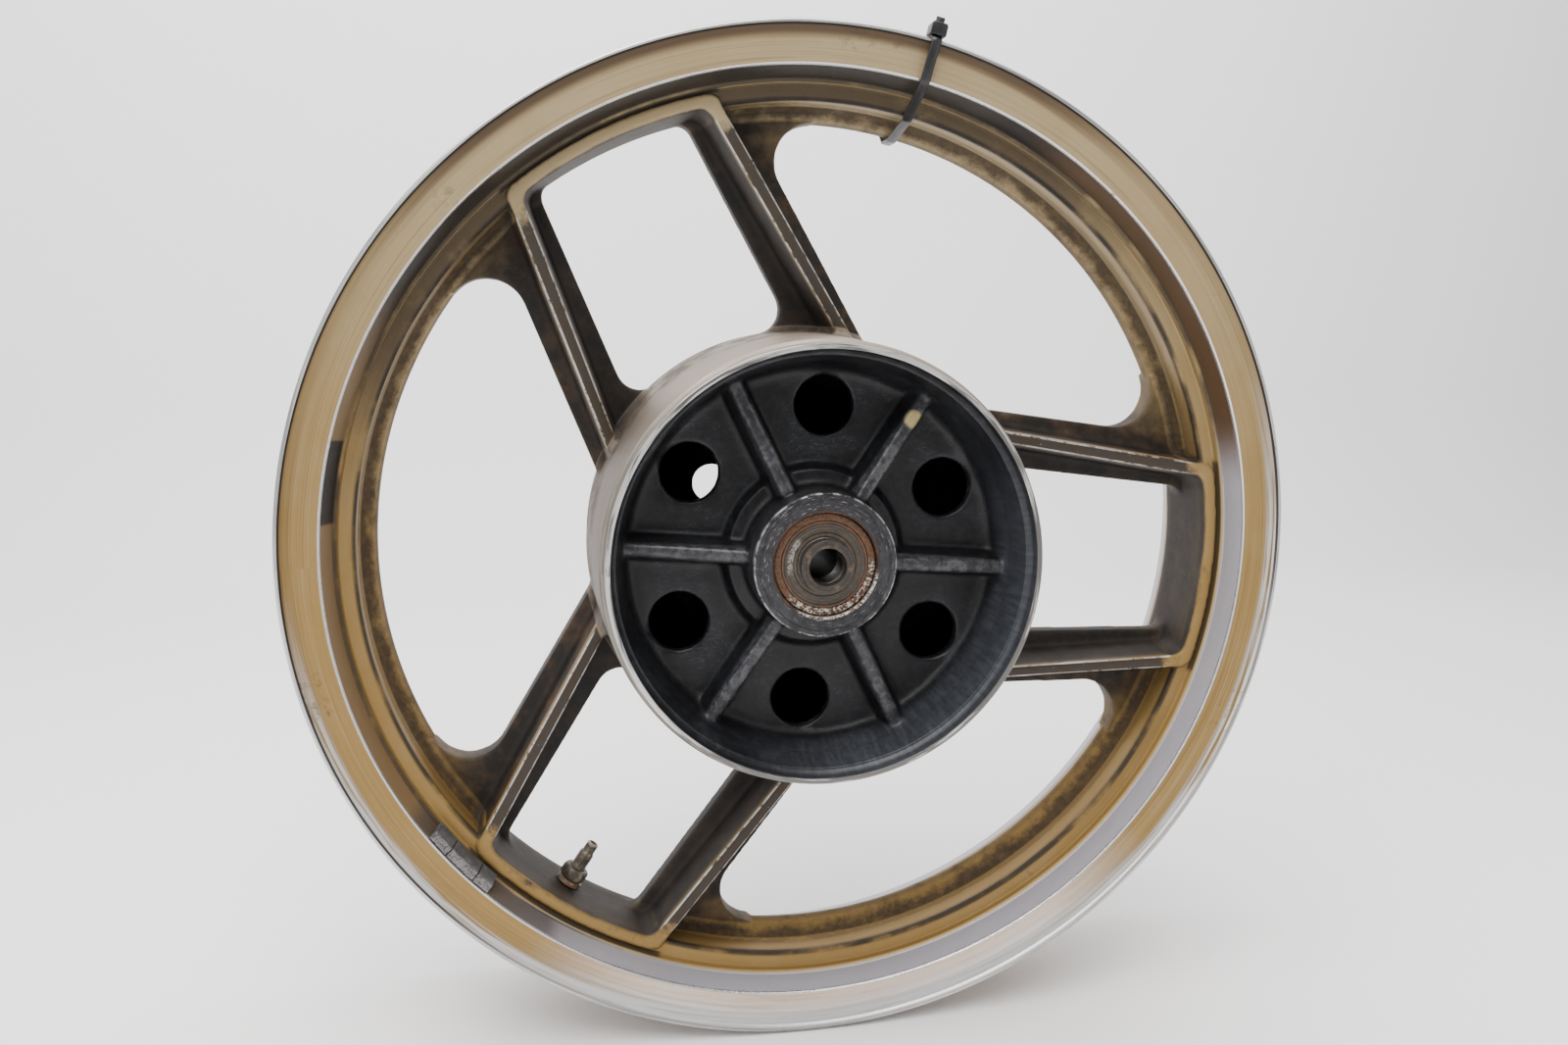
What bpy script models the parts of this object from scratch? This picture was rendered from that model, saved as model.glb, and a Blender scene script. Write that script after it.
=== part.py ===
"""Rear wheel of a road motorcycle, bare of its tyre, disc, sprocket carrier and axle.

One aluminium casting carries the rim, three pairs of spokes and a deep drum hub.  Two ball bearings
and their distance collar sit in the hub, a clamp-in valve and three balance weights on the rim, and a
cable tie is pulled round the rim at the top.

Frame: metres, +Z up, the axle along Y, the origin on the axle at the rim's middle plane.  The open
drum of the hub faces -Y.  Angles are measured in the XZ plane from +X towards +Z.
"""
import bpy
import bmesh
from math import acos, atan2, cos, pi, radians, sin, sqrt
from mathutils import Vector

# ---------------------------------------------------------------- driving dimensions (metres)
GAP = 0.0003                 # clearance between neighbouring solids

# rim, MT 3.00 x 18: 457.2 mm bead seat, 76.2 mm between the flanges
BEAD_SEAT_R = 0.2286
FLANGE_TIP_R = 0.2426
BEAD_SEAT_Y = 0.0381         # half the width between the flanges
RIM_HALF_WIDTH = 0.0480
WELL_R = 0.2175              # bottom of the tyre well
FACE_Y = 0.0438              # the flange face lies behind its lip
RIM_EDGE_R = 0.2236          # machined inner edge of the flange face
LEDGE_R = 0.2188
LEDGE_Y = 0.0315
BAND_Y = 0.0280              # flat painted band beside the ledge
BAND_IN_R = 0.2098
CHANNEL_R = 0.2112
RIDGE_R = 0.2030             # rounded ridge that borders the large windows
BACK_SLOPE_R = 0.2135        # the disc side of the rim falls away behind the ridge
RIM_SEGMENTS = 60

# spoke pairs; u runs outwards along the middle of a pair, v across it
FIRST_PAIR = radians(-4.5)
PAIR_STEP = radians(120.0)
REF_U = 0.200                # u at which the half widths below hold
RIB_FACE_Y = 0.0300          # drum-side and disc-side faces of the channel ribs
RIB_BACK_Y = 0.0135
RIB_OUT_V, RIB_OUT_SLOPE = 0.0536, 0.090
RIB_IN_V, RIB_IN_SLOPE = 0.0474, 0.096
RIB_ARC_OUT_R = 0.2165
RIB_ARC_IN_R = 0.2103
RIB_CORNER_R = 0.0062
RIB_DRAFT = 0.0022
WEB_V, WEB_SLOPE = 0.0660, 0.064
WEB_HALF_T = 0.0070
WEB_EDGE_HALF_T = 0.0035
WEB_CHAMFER = 0.0020
WEB_RIM_FILLET = 0.0188
WEB_HUB_FILLET = 0.0090
WEB_BURIED_R = 0.2140        # ends of the spokes inside the rim and inside the barrel wall
HUB_BURIED_R = 0.1000
LIP_V, LIP_SLOPE = 0.0390, 0.050
LIP_HALF_T = 0.0050
LIP_HUB_FILLET = 0.0120
LIP_RIM_FILLET = 0.0080
WINDOW_RIM_R = 0.2098
POCKET_DRAFT = 0.0026

# hub
DRUM_FRONT_Y = -0.0870
DRUM_FRONT_R = 0.0992
DRUM_LIP_R = 0.0968          # counterbore at the mouth
DRUM_LIP_DEPTH = 0.0065
DRUM_MOUTH_R = 0.0942
DRUM_FLOOR_R = 0.0890
FLOOR_Y = -0.0460
FLOOR_T = 0.0060
BARREL_R = 0.1045
BARREL_BACK_Y = 0.0340
BOSS_R = 0.0330
BOSS_FRONT_Y = -0.0780
BOSS_BACK_Y = 0.0600
PLATFORM_R = 0.0410
PLATFORM_Y = -0.0520
TUBE_BORE_R = 0.0175
DISC_RING_OUT_R = 0.0720
DISC_RING_IN_R = 0.0610
DISC_SEAT_Y = 0.0560
BACK_WALL_Y = 0.0120
BACK_WALL_T = 0.0070
HUB_SEGMENTS = 42

RIB_COUNT = 6
RIB_STEP = 2 * pi / RIB_COUNT
RIB_BASE_W = 0.0065          # half widths of the drum ribs
RIB_TOP_W = 0.0026
RIB_TOP_BOSS_Y = -0.0660
RIB_TOP_WALL_Y = -0.0600
CUSH_HOLE_PITCH_R = 0.0704
CUSH_HOLE_R = 0.0139
BACK_HOLE_COUNT = 3
BACK_HOLE_PITCH_R = 0.0502
BACK_HOLE_R = 0.0096
DISC_BOLT_PITCH_R = 0.0665
DISC_BOLT_R = 0.0034         # tapping size of M8
DISC_BOLT_DEPTH = 0.0200
DISC_BOSS_R = 0.0090

# bearings, 17 x 47 x 14
BEARING_BORE_R = 0.0085
BEARING_R = 0.0235
BEARING_W = 0.0140
BALL_R = 0.004366
BALL_PITCH_R = 0.0160
BALL_COUNT = 7
BALL_PLAY = 0.00040
OUTER_SHOULDER_R = 0.0187
SEAL_SEAT_R = 0.0202
INNER_SHOULDER_R = 0.0133
SEAL_TRACK_R = 0.0124
SEAL_DEPTH = 0.0007
SEAL_T = 0.0007
CAGE_HALF_W = 0.0053
CAGE_HALF_T = 0.0010
FRONT_BEARING_Y = -0.0685    # centres of the two bearings
BACK_BEARING_Y = 0.0460
COLLAR_R = 0.0123
SPACER_END_Y = -0.0830
DUST_SEAL_LIP_R = 0.0129
DUST_SEAL_T = 0.0060
RING_SEGMENTS = 24

# valve, in the pair whose window points down and to the left of the drum side
VALVE_PAIR = 2
VALVE_OFFSET = radians(0.2)
VALVE_Y = -0.0050
VALVE_HOLE_R = 0.0042
VALVE_STEM_R = 0.0038
VALVE_BORE_R = 0.0021
VALVE_TIP_R = 0.1855         # distance of the tip from the axle
VALVE_BASE_R = 0.0074

# balance weights, on the step under the flange edge beside the valve pair
WEIGHT_START = radians(-10.0)
WEIGHT_SPANS = (radians(2.3), radians(4.4), radians(2.9))
WEIGHT_SPACE = radians(0.16)

# cable tie
TIE_ANGLE = radians(76.5)
TIE_WIDTH = 0.0046
TIE_T = 0.0013
TIE_HEAD_Y = (-0.0495, -0.0415)
TIE_HEAD_R = (0.2435, 0.2492)
TIE_HEAD_W = 0.0076
TIE_TAIL_END_R = 0.2520


# ---------------------------------------------------------------- mesh helpers
def clear_scene():
    for obj in list(bpy.data.objects):
        bpy.data.objects.remove(obj, do_unlink=True)


def material(name, colour, roughness, metallic):
    mat = bpy.data.materials.new(name)
    mat.use_nodes = True
    shader = mat.node_tree.nodes["Principled BSDF"]
    shader.inputs["Base Color"].default_value = (*colour, 1.0)
    shader.inputs["Roughness"].default_value = roughness
    shader.inputs["Metallic"].default_value = metallic
    mat.diffuse_color = (*colour, 1.0)
    return mat


def add_object(name, bm, mat=None, smooth_angle=35.0):
    bmesh.ops.recalc_face_normals(bm, faces=bm.faces)
    mesh = bpy.data.meshes.new(name)
    bm.to_mesh(mesh)
    bm.free()
    obj = bpy.data.objects.new(name, mesh)
    bpy.context.scene.collection.objects.link(obj)
    if mat:
        mesh.materials.append(mat)
        mesh.shade_smooth()
        mesh.set_sharp_from_angle(angle=radians(smooth_angle))
    else:
        obj.hide_render = True
        obj.display_type = "WIRE"
    return obj


def boolean(target, tool, operation, solver="EXACT"):
    mod = target.modifiers.new(tool.name, "BOOLEAN")
    mod.operation = operation
    mod.object = tool
    mod.solver = solver


def revolve_into(bm, profile, segments, phase=0.0, centre=(0.0, 0.0, 0.0)):
    """Turn a closed (radius, depth) profile about a line parallel to the axle."""
    rings = []
    for i in range(segments):
        a = phase + 2 * pi * i / segments
        rings.append([bm.verts.new(Vector(centre) + Vector((r * cos(a), h, r * sin(a)))) for r, h in profile])
    count = len(profile)
    for i in range(segments):
        here, there = rings[i], rings[(i + 1) % segments]
        for j in range(count):
            k = (j + 1) % count
            bm.faces.new((here[j], there[j], there[k], here[k]))


def loft_into(bm, loops):
    """Join loops of equal length and close both ends."""
    rows = [[bm.verts.new(p) for p in loop] for loop in loops]
    count = len(rows[0])
    for here, there in zip(rows, rows[1:]):
        for j in range(count):
            k = (j + 1) % count
            bm.faces.new((here[j], there[j], there[k], here[k]))
    caps = [bm.faces.new(rows[0]), bm.faces.new(list(reversed(rows[-1])))]
    for cap in caps:
        cap.normal_update()
    bmesh.ops.triangulate(bm, faces=caps)


def revolve(name, profile, segments, mat=None, phase=0.0, centre=(0.0, 0.0, 0.0)):
    bm = bmesh.new()
    revolve_into(bm, profile, segments, phase, centre)
    return add_object(name, bm, mat)


def place(u, v, y, angle):
    """A point given along (u) and across (v) a radial direction, at depth y."""
    return Vector((u * cos(angle) - v * sin(angle), y, u * sin(angle) + v * cos(angle)))


def circle(radius, sides, phase=0.0):
    return [(radius * cos(phase + 2 * pi * i / sides), radius * sin(phase + 2 * pi * i / sides))
            for i in range(sides)]


def arc(cx, cy, radius, start, end, steps):
    return [(cx + radius * cos(start + (end - start) * i / steps),
             cy + radius * sin(start + (end - start) * i / steps)) for i in range(steps + 1)]


def cylinders(name, centres, radius, low, high, sides):
    """Solid round bars parallel to the axle at the given (x, z) centres."""
    bm = bmesh.new()
    for cx, cz in centres:
        loft_into(bm, [[Vector((cx + x, y, cz + z)) for x, z in circle(radius, sides)]
                       for y in (low, high)])
    return add_object(name, bm)


def bolt_circle(radius, count, phase):
    return [(radius * cos(phase + 2 * pi * i / count), radius * sin(phase + 2 * pi * i / count))
            for i in range(count)]


# ---------------------------------------------------------------- outlines of a spoke pair
def line_v(v_ref, slope, u):
    """Half width at u of a pair edge that closes in towards the rim."""
    return v_ref + slope * (REF_U - u)


def edge_on_circle(v_ref, slope, radius):
    """Where an edge line crosses a circle about the axle."""
    u = radius
    for _ in range(20):
        u = sqrt(radius ** 2 - line_v(v_ref, slope, u) ** 2)
    return u, line_v(v_ref, slope, u)


def fillet_centre(v_ref, slope, fillet, centre_r, side):
    """Centre of a fillet that touches an edge line, at centre_r from the axle.

    side is +1 for a fillet beyond the line and -1 for one between the line and the middle."""
    shift = side * fillet * sqrt(1 + slope ** 2)
    return edge_on_circle(v_ref + shift, slope, centre_r)


def line_normal_angle(slope):
    """Direction, in the pair's (u, v) plane, of the outward normal of an edge line."""
    return atan2(1.0, slope)


def mirrored(half):
    """Close a half outline that runs on +v from the hub end to the rim end."""
    return half + [(u, -v) for u, v in reversed(half)]


def arc_to_middle(radius, start_angle, steps):
    """Points on a circle about the axle, from an angle down to nearly the middle line."""
    return [(radius * cos(start_angle * (1 - i / (steps + 0.5))),
             radius * sin(start_angle * (1 - i / (steps + 0.5)))) for i in range(1, steps + 1)]


def hub_end(radius, angle, steps=2):
    """Points on the buried hub end, from near the middle line out to an angle."""
    return [(radius * cos(angle * (i + 0.5) / (steps + 0.5)),
             radius * sin(angle * (i + 0.5) / (steps + 0.5))) for i in range(steps + 1)]


def web_outline(inset):
    """Flat web of a pair: flared into the rim and filleted into the barrel."""
    v_ref = WEB_V - inset
    rim_r = RIDGE_R + inset
    barrel_r = BARREL_R - inset
    normal = line_normal_angle(WEB_SLOPE)
    hub_u, hub_v = fillet_centre(v_ref, WEB_SLOPE, WEB_HUB_FILLET, barrel_r + WEB_HUB_FILLET, 1)
    rim_u, rim_v = fillet_centre(v_ref, WEB_SLOPE, WEB_RIM_FILLET, rim_r - WEB_RIM_FILLET, 1)
    hub_angle = atan2(hub_v, hub_u)
    rim_angle = atan2(rim_v, rim_u)
    half = hub_end(HUB_BURIED_R, hub_angle)
    half += arc(hub_u, hub_v, WEB_HUB_FILLET, hub_angle - pi, normal - pi, 3)
    half += arc(rim_u, rim_v, WEB_RIM_FILLET, normal - pi, rim_angle, 7)
    half.append((WEB_BURIED_R * cos(rim_angle), WEB_BURIED_R * sin(rim_angle)))
    half += arc_to_middle(WEB_BURIED_R, rim_angle, 5)
    return mirrored(half)


def corner_outline(v_ref, slope, hub_r, rim_r, corner):
    """A pair outline with round outer corners between its edges and an arc at the rim."""
    start_u, start_v = edge_on_circle(v_ref, slope, hub_r)
    cu, cv = fillet_centre(v_ref, slope, corner, rim_r - corner, -1)
    normal = line_normal_angle(slope)
    arc_angle = atan2(cv, cu)
    half = hub_end(hub_r, atan2(start_v, start_u))
    half += arc(cu, cv, corner, normal, arc_angle, 4)
    half += arc_to_middle(rim_r, arc_angle, 4)
    return mirrored(half)


def window_outline():
    """See-through window of a pair, bordered by the lips, the barrel and the rim."""
    cu, cv = fillet_centre(LIP_V, LIP_SLOPE, LIP_RIM_FILLET, WINDOW_RIM_R - LIP_RIM_FILLET, -1)
    hu, hv = fillet_centre(LIP_V, LIP_SLOPE, LIP_HUB_FILLET, BARREL_R + LIP_HUB_FILLET, -1)
    normal = line_normal_angle(LIP_SLOPE)
    hub_angle = atan2(hv, hu)
    half = hub_end(HUB_BURIED_R - 0.001, hub_angle)
    half += arc(hu, hv, LIP_HUB_FILLET, hub_angle + pi, normal, 6)
    half += arc(cu, cv, LIP_RIM_FILLET, normal, atan2(cv, cu), 4)
    half += arc_to_middle(WINDOW_RIM_R, atan2(cv, cu), 4)
    return mirrored(half)


def pair_angles():
    return [FIRST_PAIR + PAIR_STEP * k for k in range(3)]


def pair_solids(name, levels):
    """One solid per pair; levels lists (depth, outline)."""
    bm = bmesh.new()
    for angle in pair_angles():
        loft_into(bm, [[place(u, v, y, angle) for u, v in outline] for y, outline in levels])
    return add_object(name, bm)


def valve_frame():
    """Angle of the valve, close to the middle line of its pair."""
    return pair_angles()[VALVE_PAIR] + VALVE_OFFSET


# ---------------------------------------------------------------- the casting
def rim_profile():
    """Closed (radius, depth) section of the rim: hub side from front to back, then tyre side."""
    flange = [
        (FLANGE_TIP_R - 0.0002, -RIM_HALF_WIDTH + 0.0014),
        (FLANGE_TIP_R - 0.0014, -RIM_HALF_WIDTH),
        (FLANGE_TIP_R - 0.0038, -FACE_Y - 0.0018),
        (FLANGE_TIP_R - 0.0095, -FACE_Y - 0.0003),
        (RIM_EDGE_R + 0.0006, -FACE_Y),
        (RIM_EDGE_R - 0.0002, -FACE_Y + 0.0006),
    ]
    front = [
        (LEDGE_R + 0.0006, -LEDGE_Y - 0.0008),
        (LEDGE_R - 0.0014, -BAND_Y),
        (BAND_IN_R + 0.0006, -BAND_Y),
        (BAND_IN_R, -BAND_Y + 0.0012),
        (CHANNEL_R, -0.0120),
        (RIDGE_R + 0.0052, -0.0062),
        (RIDGE_R, -0.0016),
    ]
    back = [
        (RIDGE_R, 0.0016),
        (RIDGE_R + 0.0040, 0.0070),
        (BACK_SLOPE_R, 0.0165),
        (LEDGE_R - 0.0003, BAND_Y),
    ]
    tyre_side = [
        (WELL_R, 0.0125),
        (BEAD_SEAT_R - 0.0013, 0.0190),
        (BEAD_SEAT_R, BEAD_SEAT_Y - 0.0020),
        (BEAD_SEAT_R + 0.0020, BEAD_SEAT_Y),
        (FLANGE_TIP_R - 0.0022, BEAD_SEAT_Y + 0.0016),
        (FLANGE_TIP_R, BEAD_SEAT_Y + 0.0042),
    ]
    back_flange = [(r, -y) for r, y in reversed(flange)]
    front_tyre = [(r, -y) for r, y in tyre_side]
    return flange + front + back + back_flange + list(reversed(tyre_side)) + front_tyre


def drum_profile():
    """Closed (radius, depth) section of the hub without its inner cavity."""
    bearing_front = FRONT_BEARING_Y + BEARING_W / 2 + GAP
    bearing_back = BACK_BEARING_Y - BEARING_W / 2 - GAP
    pocket_r = BEARING_R + GAP
    return [
        (DRUM_FRONT_R, DRUM_FRONT_Y),
        (DRUM_FRONT_R + 0.0002, DRUM_FRONT_Y + 0.0050),
        (DRUM_FRONT_R + 0.0018, DRUM_FRONT_Y + 0.0066),
        (BARREL_R, 0.0),
        (BARREL_R - 0.0010, BARREL_BACK_Y - 0.0060),
        (BARREL_R - 0.0055, BARREL_BACK_Y),
        (DISC_RING_OUT_R + 0.0050, BARREL_BACK_Y + 0.0050),
        (DISC_RING_OUT_R, BARREL_BACK_Y + 0.0090),
        (DISC_RING_OUT_R - 0.0006, DISC_SEAT_Y),
        (DISC_RING_IN_R + 0.0006, DISC_SEAT_Y),
        (DISC_RING_IN_R - 0.0010, BACK_WALL_Y),
        (BOSS_R + 0.0030, BACK_WALL_Y),
        (BOSS_R, BACK_WALL_Y + 0.0040),
        (BOSS_R - 0.0010, BOSS_BACK_Y),
        (pocket_r, BOSS_BACK_Y),
        (pocket_r, bearing_back),
        (TUBE_BORE_R, bearing_back),
        (TUBE_BORE_R, bearing_front),
        (pocket_r, bearing_front),
        (pocket_r, BOSS_FRONT_Y),
        (BOSS_R, BOSS_FRONT_Y),
        (BOSS_R + 0.0006, PLATFORM_Y - 0.0030),
        (BOSS_R + 0.0030, PLATFORM_Y),
        (PLATFORM_R, PLATFORM_Y),
        (PLATFORM_R + 0.0030, FLOOR_Y),
        (DRUM_FLOOR_R - 0.0035, FLOOR_Y),
        (DRUM_FLOOR_R, FLOOR_Y - 0.0030),
        (DRUM_MOUTH_R, DRUM_FRONT_Y + DRUM_LIP_DEPTH + 0.0010),
        (DRUM_LIP_R, DRUM_FRONT_Y + DRUM_LIP_DEPTH),
        (DRUM_LIP_R, DRUM_FRONT_Y),
    ]


def cavity_profile():
    """Core of the hub between the drum floor and the disc-side wall."""
    wall_y = BACK_WALL_Y - BACK_WALL_T
    return [
        (BOSS_R + 0.0035, FLOOR_Y + FLOOR_T),
        (BARREL_R - 0.0090, FLOOR_Y + FLOOR_T),
        (BARREL_R - 0.0065, FLOOR_Y + FLOOR_T + 0.0040),
        (BARREL_R - 0.0070, BARREL_BACK_Y - 0.0130),
        (BARREL_R - 0.0110, BARREL_BACK_Y - 0.0070),
        (DISC_RING_OUT_R + 0.0060, BARREL_BACK_Y - 0.0030),
        (DISC_RING_IN_R + 0.0050, wall_y),
        (BOSS_R + 0.0035, wall_y),
    ]


def drum_ribs():
    """Six tapered ribs between the boss and the drum wall, one in line with each spoke pair."""
    bm = bmesh.new()
    inner_r, outer_r = BOSS_R - 0.0030, DRUM_MOUTH_R + 0.0010
    for k in range(RIB_COUNT):
        angle = FIRST_PAIR + RIB_STEP * k
        ends = []
        for r, top in ((inner_r, RIB_TOP_BOSS_Y), (outer_r, RIB_TOP_WALL_Y)):
            base = FLOOR_Y + FLOOR_T / 2
            half = [(RIB_BASE_W, base), (RIB_TOP_W + 0.0006, top + 0.0010), (RIB_TOP_W - 0.0006, top)]
            corners = [(-v, y) for v, y in half] + half[::-1]
            ends.append([place(r, v, y, angle) for v, y in corners])
        loft_into(bm, ends)
    return add_object("tool_drum_ribs", bm)


def build_casting(mat):
    half_facet = pi / RIM_SEGMENTS
    casting = revolve("wheel_casting", rim_profile(), RIM_SEGMENTS, mat, phase=half_facet)

    def combine(tool, operation):
        boolean(casting, tool, operation, "MANIFOLD")

    webs = pair_solids("tool_webs", [
        (-WEB_HALF_T, web_outline(WEB_CHAMFER)), (-WEB_EDGE_HALF_T, web_outline(0.0)),
        (WEB_EDGE_HALF_T, web_outline(0.0)), (WEB_HALF_T, web_outline(WEB_CHAMFER))])
    rib_top = corner_outline(RIB_OUT_V, RIB_OUT_SLOPE, HUB_BURIED_R, RIB_ARC_OUT_R, RIB_CORNER_R)
    rib_root = corner_outline(RIB_OUT_V + RIB_DRAFT, RIB_OUT_SLOPE, HUB_BURIED_R, RIB_ARC_OUT_R,
                              RIB_CORNER_R)
    ribs = pair_solids("tool_ribs", [(-RIB_FACE_Y, rib_top), (-WEB_HALF_T + 0.001, rib_root),
                                     (WEB_HALF_T - 0.001, rib_root), (RIB_BACK_Y, rib_top)])
    combine(webs, "UNION")
    combine(ribs, "UNION")

    for name, side in (("tool_pockets_front", -1), ("tool_pockets_back", 1)):
        mouth = corner_outline(RIB_IN_V, RIB_IN_SLOPE, HUB_BURIED_R - 0.0015, RIB_ARC_IN_R, RIB_CORNER_R)
        floor = corner_outline(RIB_IN_V - POCKET_DRAFT, RIB_IN_SLOPE, HUB_BURIED_R - 0.0015,
                               WINDOW_RIM_R - 0.0002, RIB_CORNER_R)
        face = RIB_FACE_Y if side < 0 else RIB_BACK_Y
        levels = [(side * (face + 0.004), mouth), (side * (face - 0.001), mouth),
                  (side * LIP_HALF_T, floor)]
        combine(pair_solids(name, levels), "DIFFERENCE")
    window = window_outline()
    combine(pair_solids("tool_windows", [(-0.012, window), (0.012, window)]), "DIFFERENCE")

    combine(revolve("tool_drum", drum_profile(), HUB_SEGMENTS, phase=pi / HUB_SEGMENTS), "UNION")
    combine(drum_ribs(), "UNION")
    combine(revolve("tool_cavity", cavity_profile(), HUB_SEGMENTS, phase=pi / HUB_SEGMENTS), "DIFFERENCE")
    between_ribs = FIRST_PAIR + RIB_STEP / 2
    front_holes = bolt_circle(CUSH_HOLE_PITCH_R, RIB_COUNT, between_ribs)
    combine(cylinders("tool_cush_holes", front_holes, CUSH_HOLE_R, FLOOR_Y - 0.010,
                      FLOOR_Y + FLOOR_T + 0.004, 20), "DIFFERENCE")
    back_holes = bolt_circle(BACK_HOLE_PITCH_R, BACK_HOLE_COUNT, between_ribs)
    combine(cylinders("tool_back_holes", back_holes, BACK_HOLE_R, BACK_WALL_Y - BACK_WALL_T - 0.004,
                      BACK_WALL_Y + 0.004, 16), "DIFFERENCE")
    bolts = bolt_circle(DISC_BOLT_PITCH_R, RIB_COUNT, FIRST_PAIR)
    combine(cylinders("tool_disc_bosses", bolts, DISC_BOSS_R, BARREL_BACK_Y - 0.002,
                      DISC_SEAT_Y + 0.0004, 14), "UNION")
    combine(cylinders("tool_disc_threads", bolts, DISC_BOLT_R, DISC_SEAT_Y - DISC_BOLT_DEPTH,
                      DISC_SEAT_Y + 0.004, 10), "DIFFERENCE")
    bm = bmesh.new()
    loft_into(bm, [[place(r, v, VALVE_Y + y, valve_frame()) for v, y in circle(VALVE_HOLE_R, 14)]
                   for r in (WINDOW_RIM_R - 0.004, WELL_R + 0.004)])
    combine(add_object("tool_valve_hole", bm), "DIFFERENCE")
    return casting


# ---------------------------------------------------------------- bearings
def race_arc(inner, half_steps=2):
    """Ball track as (radius, depth) points, from -y to +y, cut into a race."""
    track_r = BALL_R + BALL_PLAY
    shoulder = INNER_SHOULDER_R if inner else OUTER_SHOULDER_R
    reach = acos(min(1.0, abs(shoulder - BALL_PITCH_R) / track_r))
    sign = -1 if inner else 1
    angles = [reach * i / half_steps for i in range(-half_steps, half_steps + 1)]
    return [(BALL_PITCH_R + sign * track_r * cos(a), track_r * sin(a)) for a in angles]


def bearing(prefix, centre_y, metal, seal_mat, cage_mat):
    half = BEARING_W / 2
    seat = half - SEAL_DEPTH - SEAL_T
    centre = (0.0, centre_y, 0.0)
    outer = [(BEARING_R, -half), (BEARING_R, half), (SEAL_SEAT_R, half), (SEAL_SEAT_R, seat),
             (OUTER_SHOULDER_R, seat)]
    outer += list(reversed(race_arc(False)))
    outer += [(OUTER_SHOULDER_R, -seat), (SEAL_SEAT_R, -seat), (SEAL_SEAT_R, -half)]
    inner = [(BEARING_BORE_R, -half), (BEARING_BORE_R, half), (SEAL_TRACK_R, half), (SEAL_TRACK_R, seat),
             (INNER_SHOULDER_R, seat)]
    inner += list(reversed(race_arc(True)))
    inner += [(INNER_SHOULDER_R, -seat), (SEAL_TRACK_R, -seat), (SEAL_TRACK_R, -half)]
    revolve(prefix + "_outer_race", outer, RING_SEGMENTS, metal, centre=centre)
    revolve(prefix + "_inner_race", inner, RING_SEGMENTS, metal, centre=centre)

    for side, label in ((-1, "drum_side"), (1, "disc_side")):
        low = half - SEAL_DEPTH - SEAL_T + GAP
        high = low + SEAL_T
        section = [(SEAL_TRACK_R + GAP, side * low), (SEAL_SEAT_R - GAP, side * low),
                   (SEAL_SEAT_R - GAP, side * (high + 0.0003)), (SEAL_TRACK_R + GAP, side * high)]
        revolve(prefix + "_seal_" + label, section, RING_SEGMENTS, seal_mat, centre=centre)

    cage_section = [(BALL_PITCH_R - CAGE_HALF_T, -CAGE_HALF_W), (BALL_PITCH_R - CAGE_HALF_T, CAGE_HALF_W),
                    (BALL_PITCH_R + CAGE_HALF_T, CAGE_HALF_W), (BALL_PITCH_R + CAGE_HALF_T, -CAGE_HALF_W)]
    cage = revolve(prefix + "_cage", cage_section, RING_SEGMENTS, cage_mat, centre=centre)
    bm = bmesh.new()
    for i in range(BALL_COUNT):
        angle = 2 * pi * i / BALL_COUNT
        window = circle((BALL_R + GAP) / cos(pi / 8), 8, pi / 8)
        loft_into(bm, [[place(r, v, centre_y + y, angle) for v, y in window]
                       for r in (BALL_PITCH_R - 0.0030, BALL_PITCH_R + 0.0030)])
    boolean(cage, add_object("tool_" + prefix + "_cage", bm), "DIFFERENCE")

    for i in range(BALL_COUNT):
        angle = 2 * pi * i / BALL_COUNT
        bm = bmesh.new()
        bmesh.ops.create_uvsphere(bm, u_segments=8, v_segments=6, radius=BALL_R)
        bmesh.ops.translate(bm, verts=bm.verts, vec=place(BALL_PITCH_R, 0.0, centre_y, angle))
        add_object(f"{prefix}_ball_{i + 1}", bm, metal, smooth_angle=60.0)


def build_axle_parts(steel, rubber, cage_mat):
    bearing("drum_bearing", FRONT_BEARING_Y, steel, rubber, cage_mat)
    bearing("disc_bearing", BACK_BEARING_Y, steel, rubber, cage_mat)
    front_face = FRONT_BEARING_Y - BEARING_W / 2
    collar_low = FRONT_BEARING_Y + BEARING_W / 2 + GAP
    collar_high = BACK_BEARING_Y - BEARING_W / 2 - GAP
    edge = 0.0005
    for name, low, high in (("distance_collar", collar_low, collar_high),
                            ("drum_side_spacer", SPACER_END_Y, front_face - GAP)):
        section = [(BEARING_BORE_R, low), (BEARING_BORE_R, high), (COLLAR_R - edge, high),
                   (COLLAR_R, high - edge), (COLLAR_R, low + edge), (COLLAR_R - edge, low)]
        revolve(name, section, RING_SEGMENTS, steel)
    low = BACK_BEARING_Y + BEARING_W / 2 + GAP
    high = low + DUST_SEAL_T
    section = [(DUST_SEAL_LIP_R + 0.0022, low), (BEARING_R, low), (BEARING_R, high),
               (BEARING_R - 0.0030, high), (BEARING_R - 0.0038, low + 0.0022),
               (DUST_SEAL_LIP_R + 0.0032, low + 0.0022), (DUST_SEAL_LIP_R, high - 0.0010),
               (DUST_SEAL_LIP_R, high - 0.0022)]
    revolve("disc_side_dust_seal", section, RING_SEGMENTS, rubber)


# ---------------------------------------------------------------- valve
def radial_ring(name, profile, sides, mat, phase=0.0):
    """Ring turned about the valve's own axis; profile is (radius, distance from the axle)."""
    angle = valve_frame()
    bm = bmesh.new()
    rings = []
    for i in range(sides):
        a = phase + 2 * pi * i / sides
        rings.append([bm.verts.new(place(r, rho * cos(a), VALVE_Y + rho * sin(a), angle))
                      for rho, r in profile])
    count = len(profile)
    for i in range(sides):
        here, there = rings[i], rings[(i + 1) % sides]
        for j in range(count):
            k = (j + 1) % count
            bm.faces.new((here[j], there[j], there[k], here[k]))
    return add_object(name, bm, mat)


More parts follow.
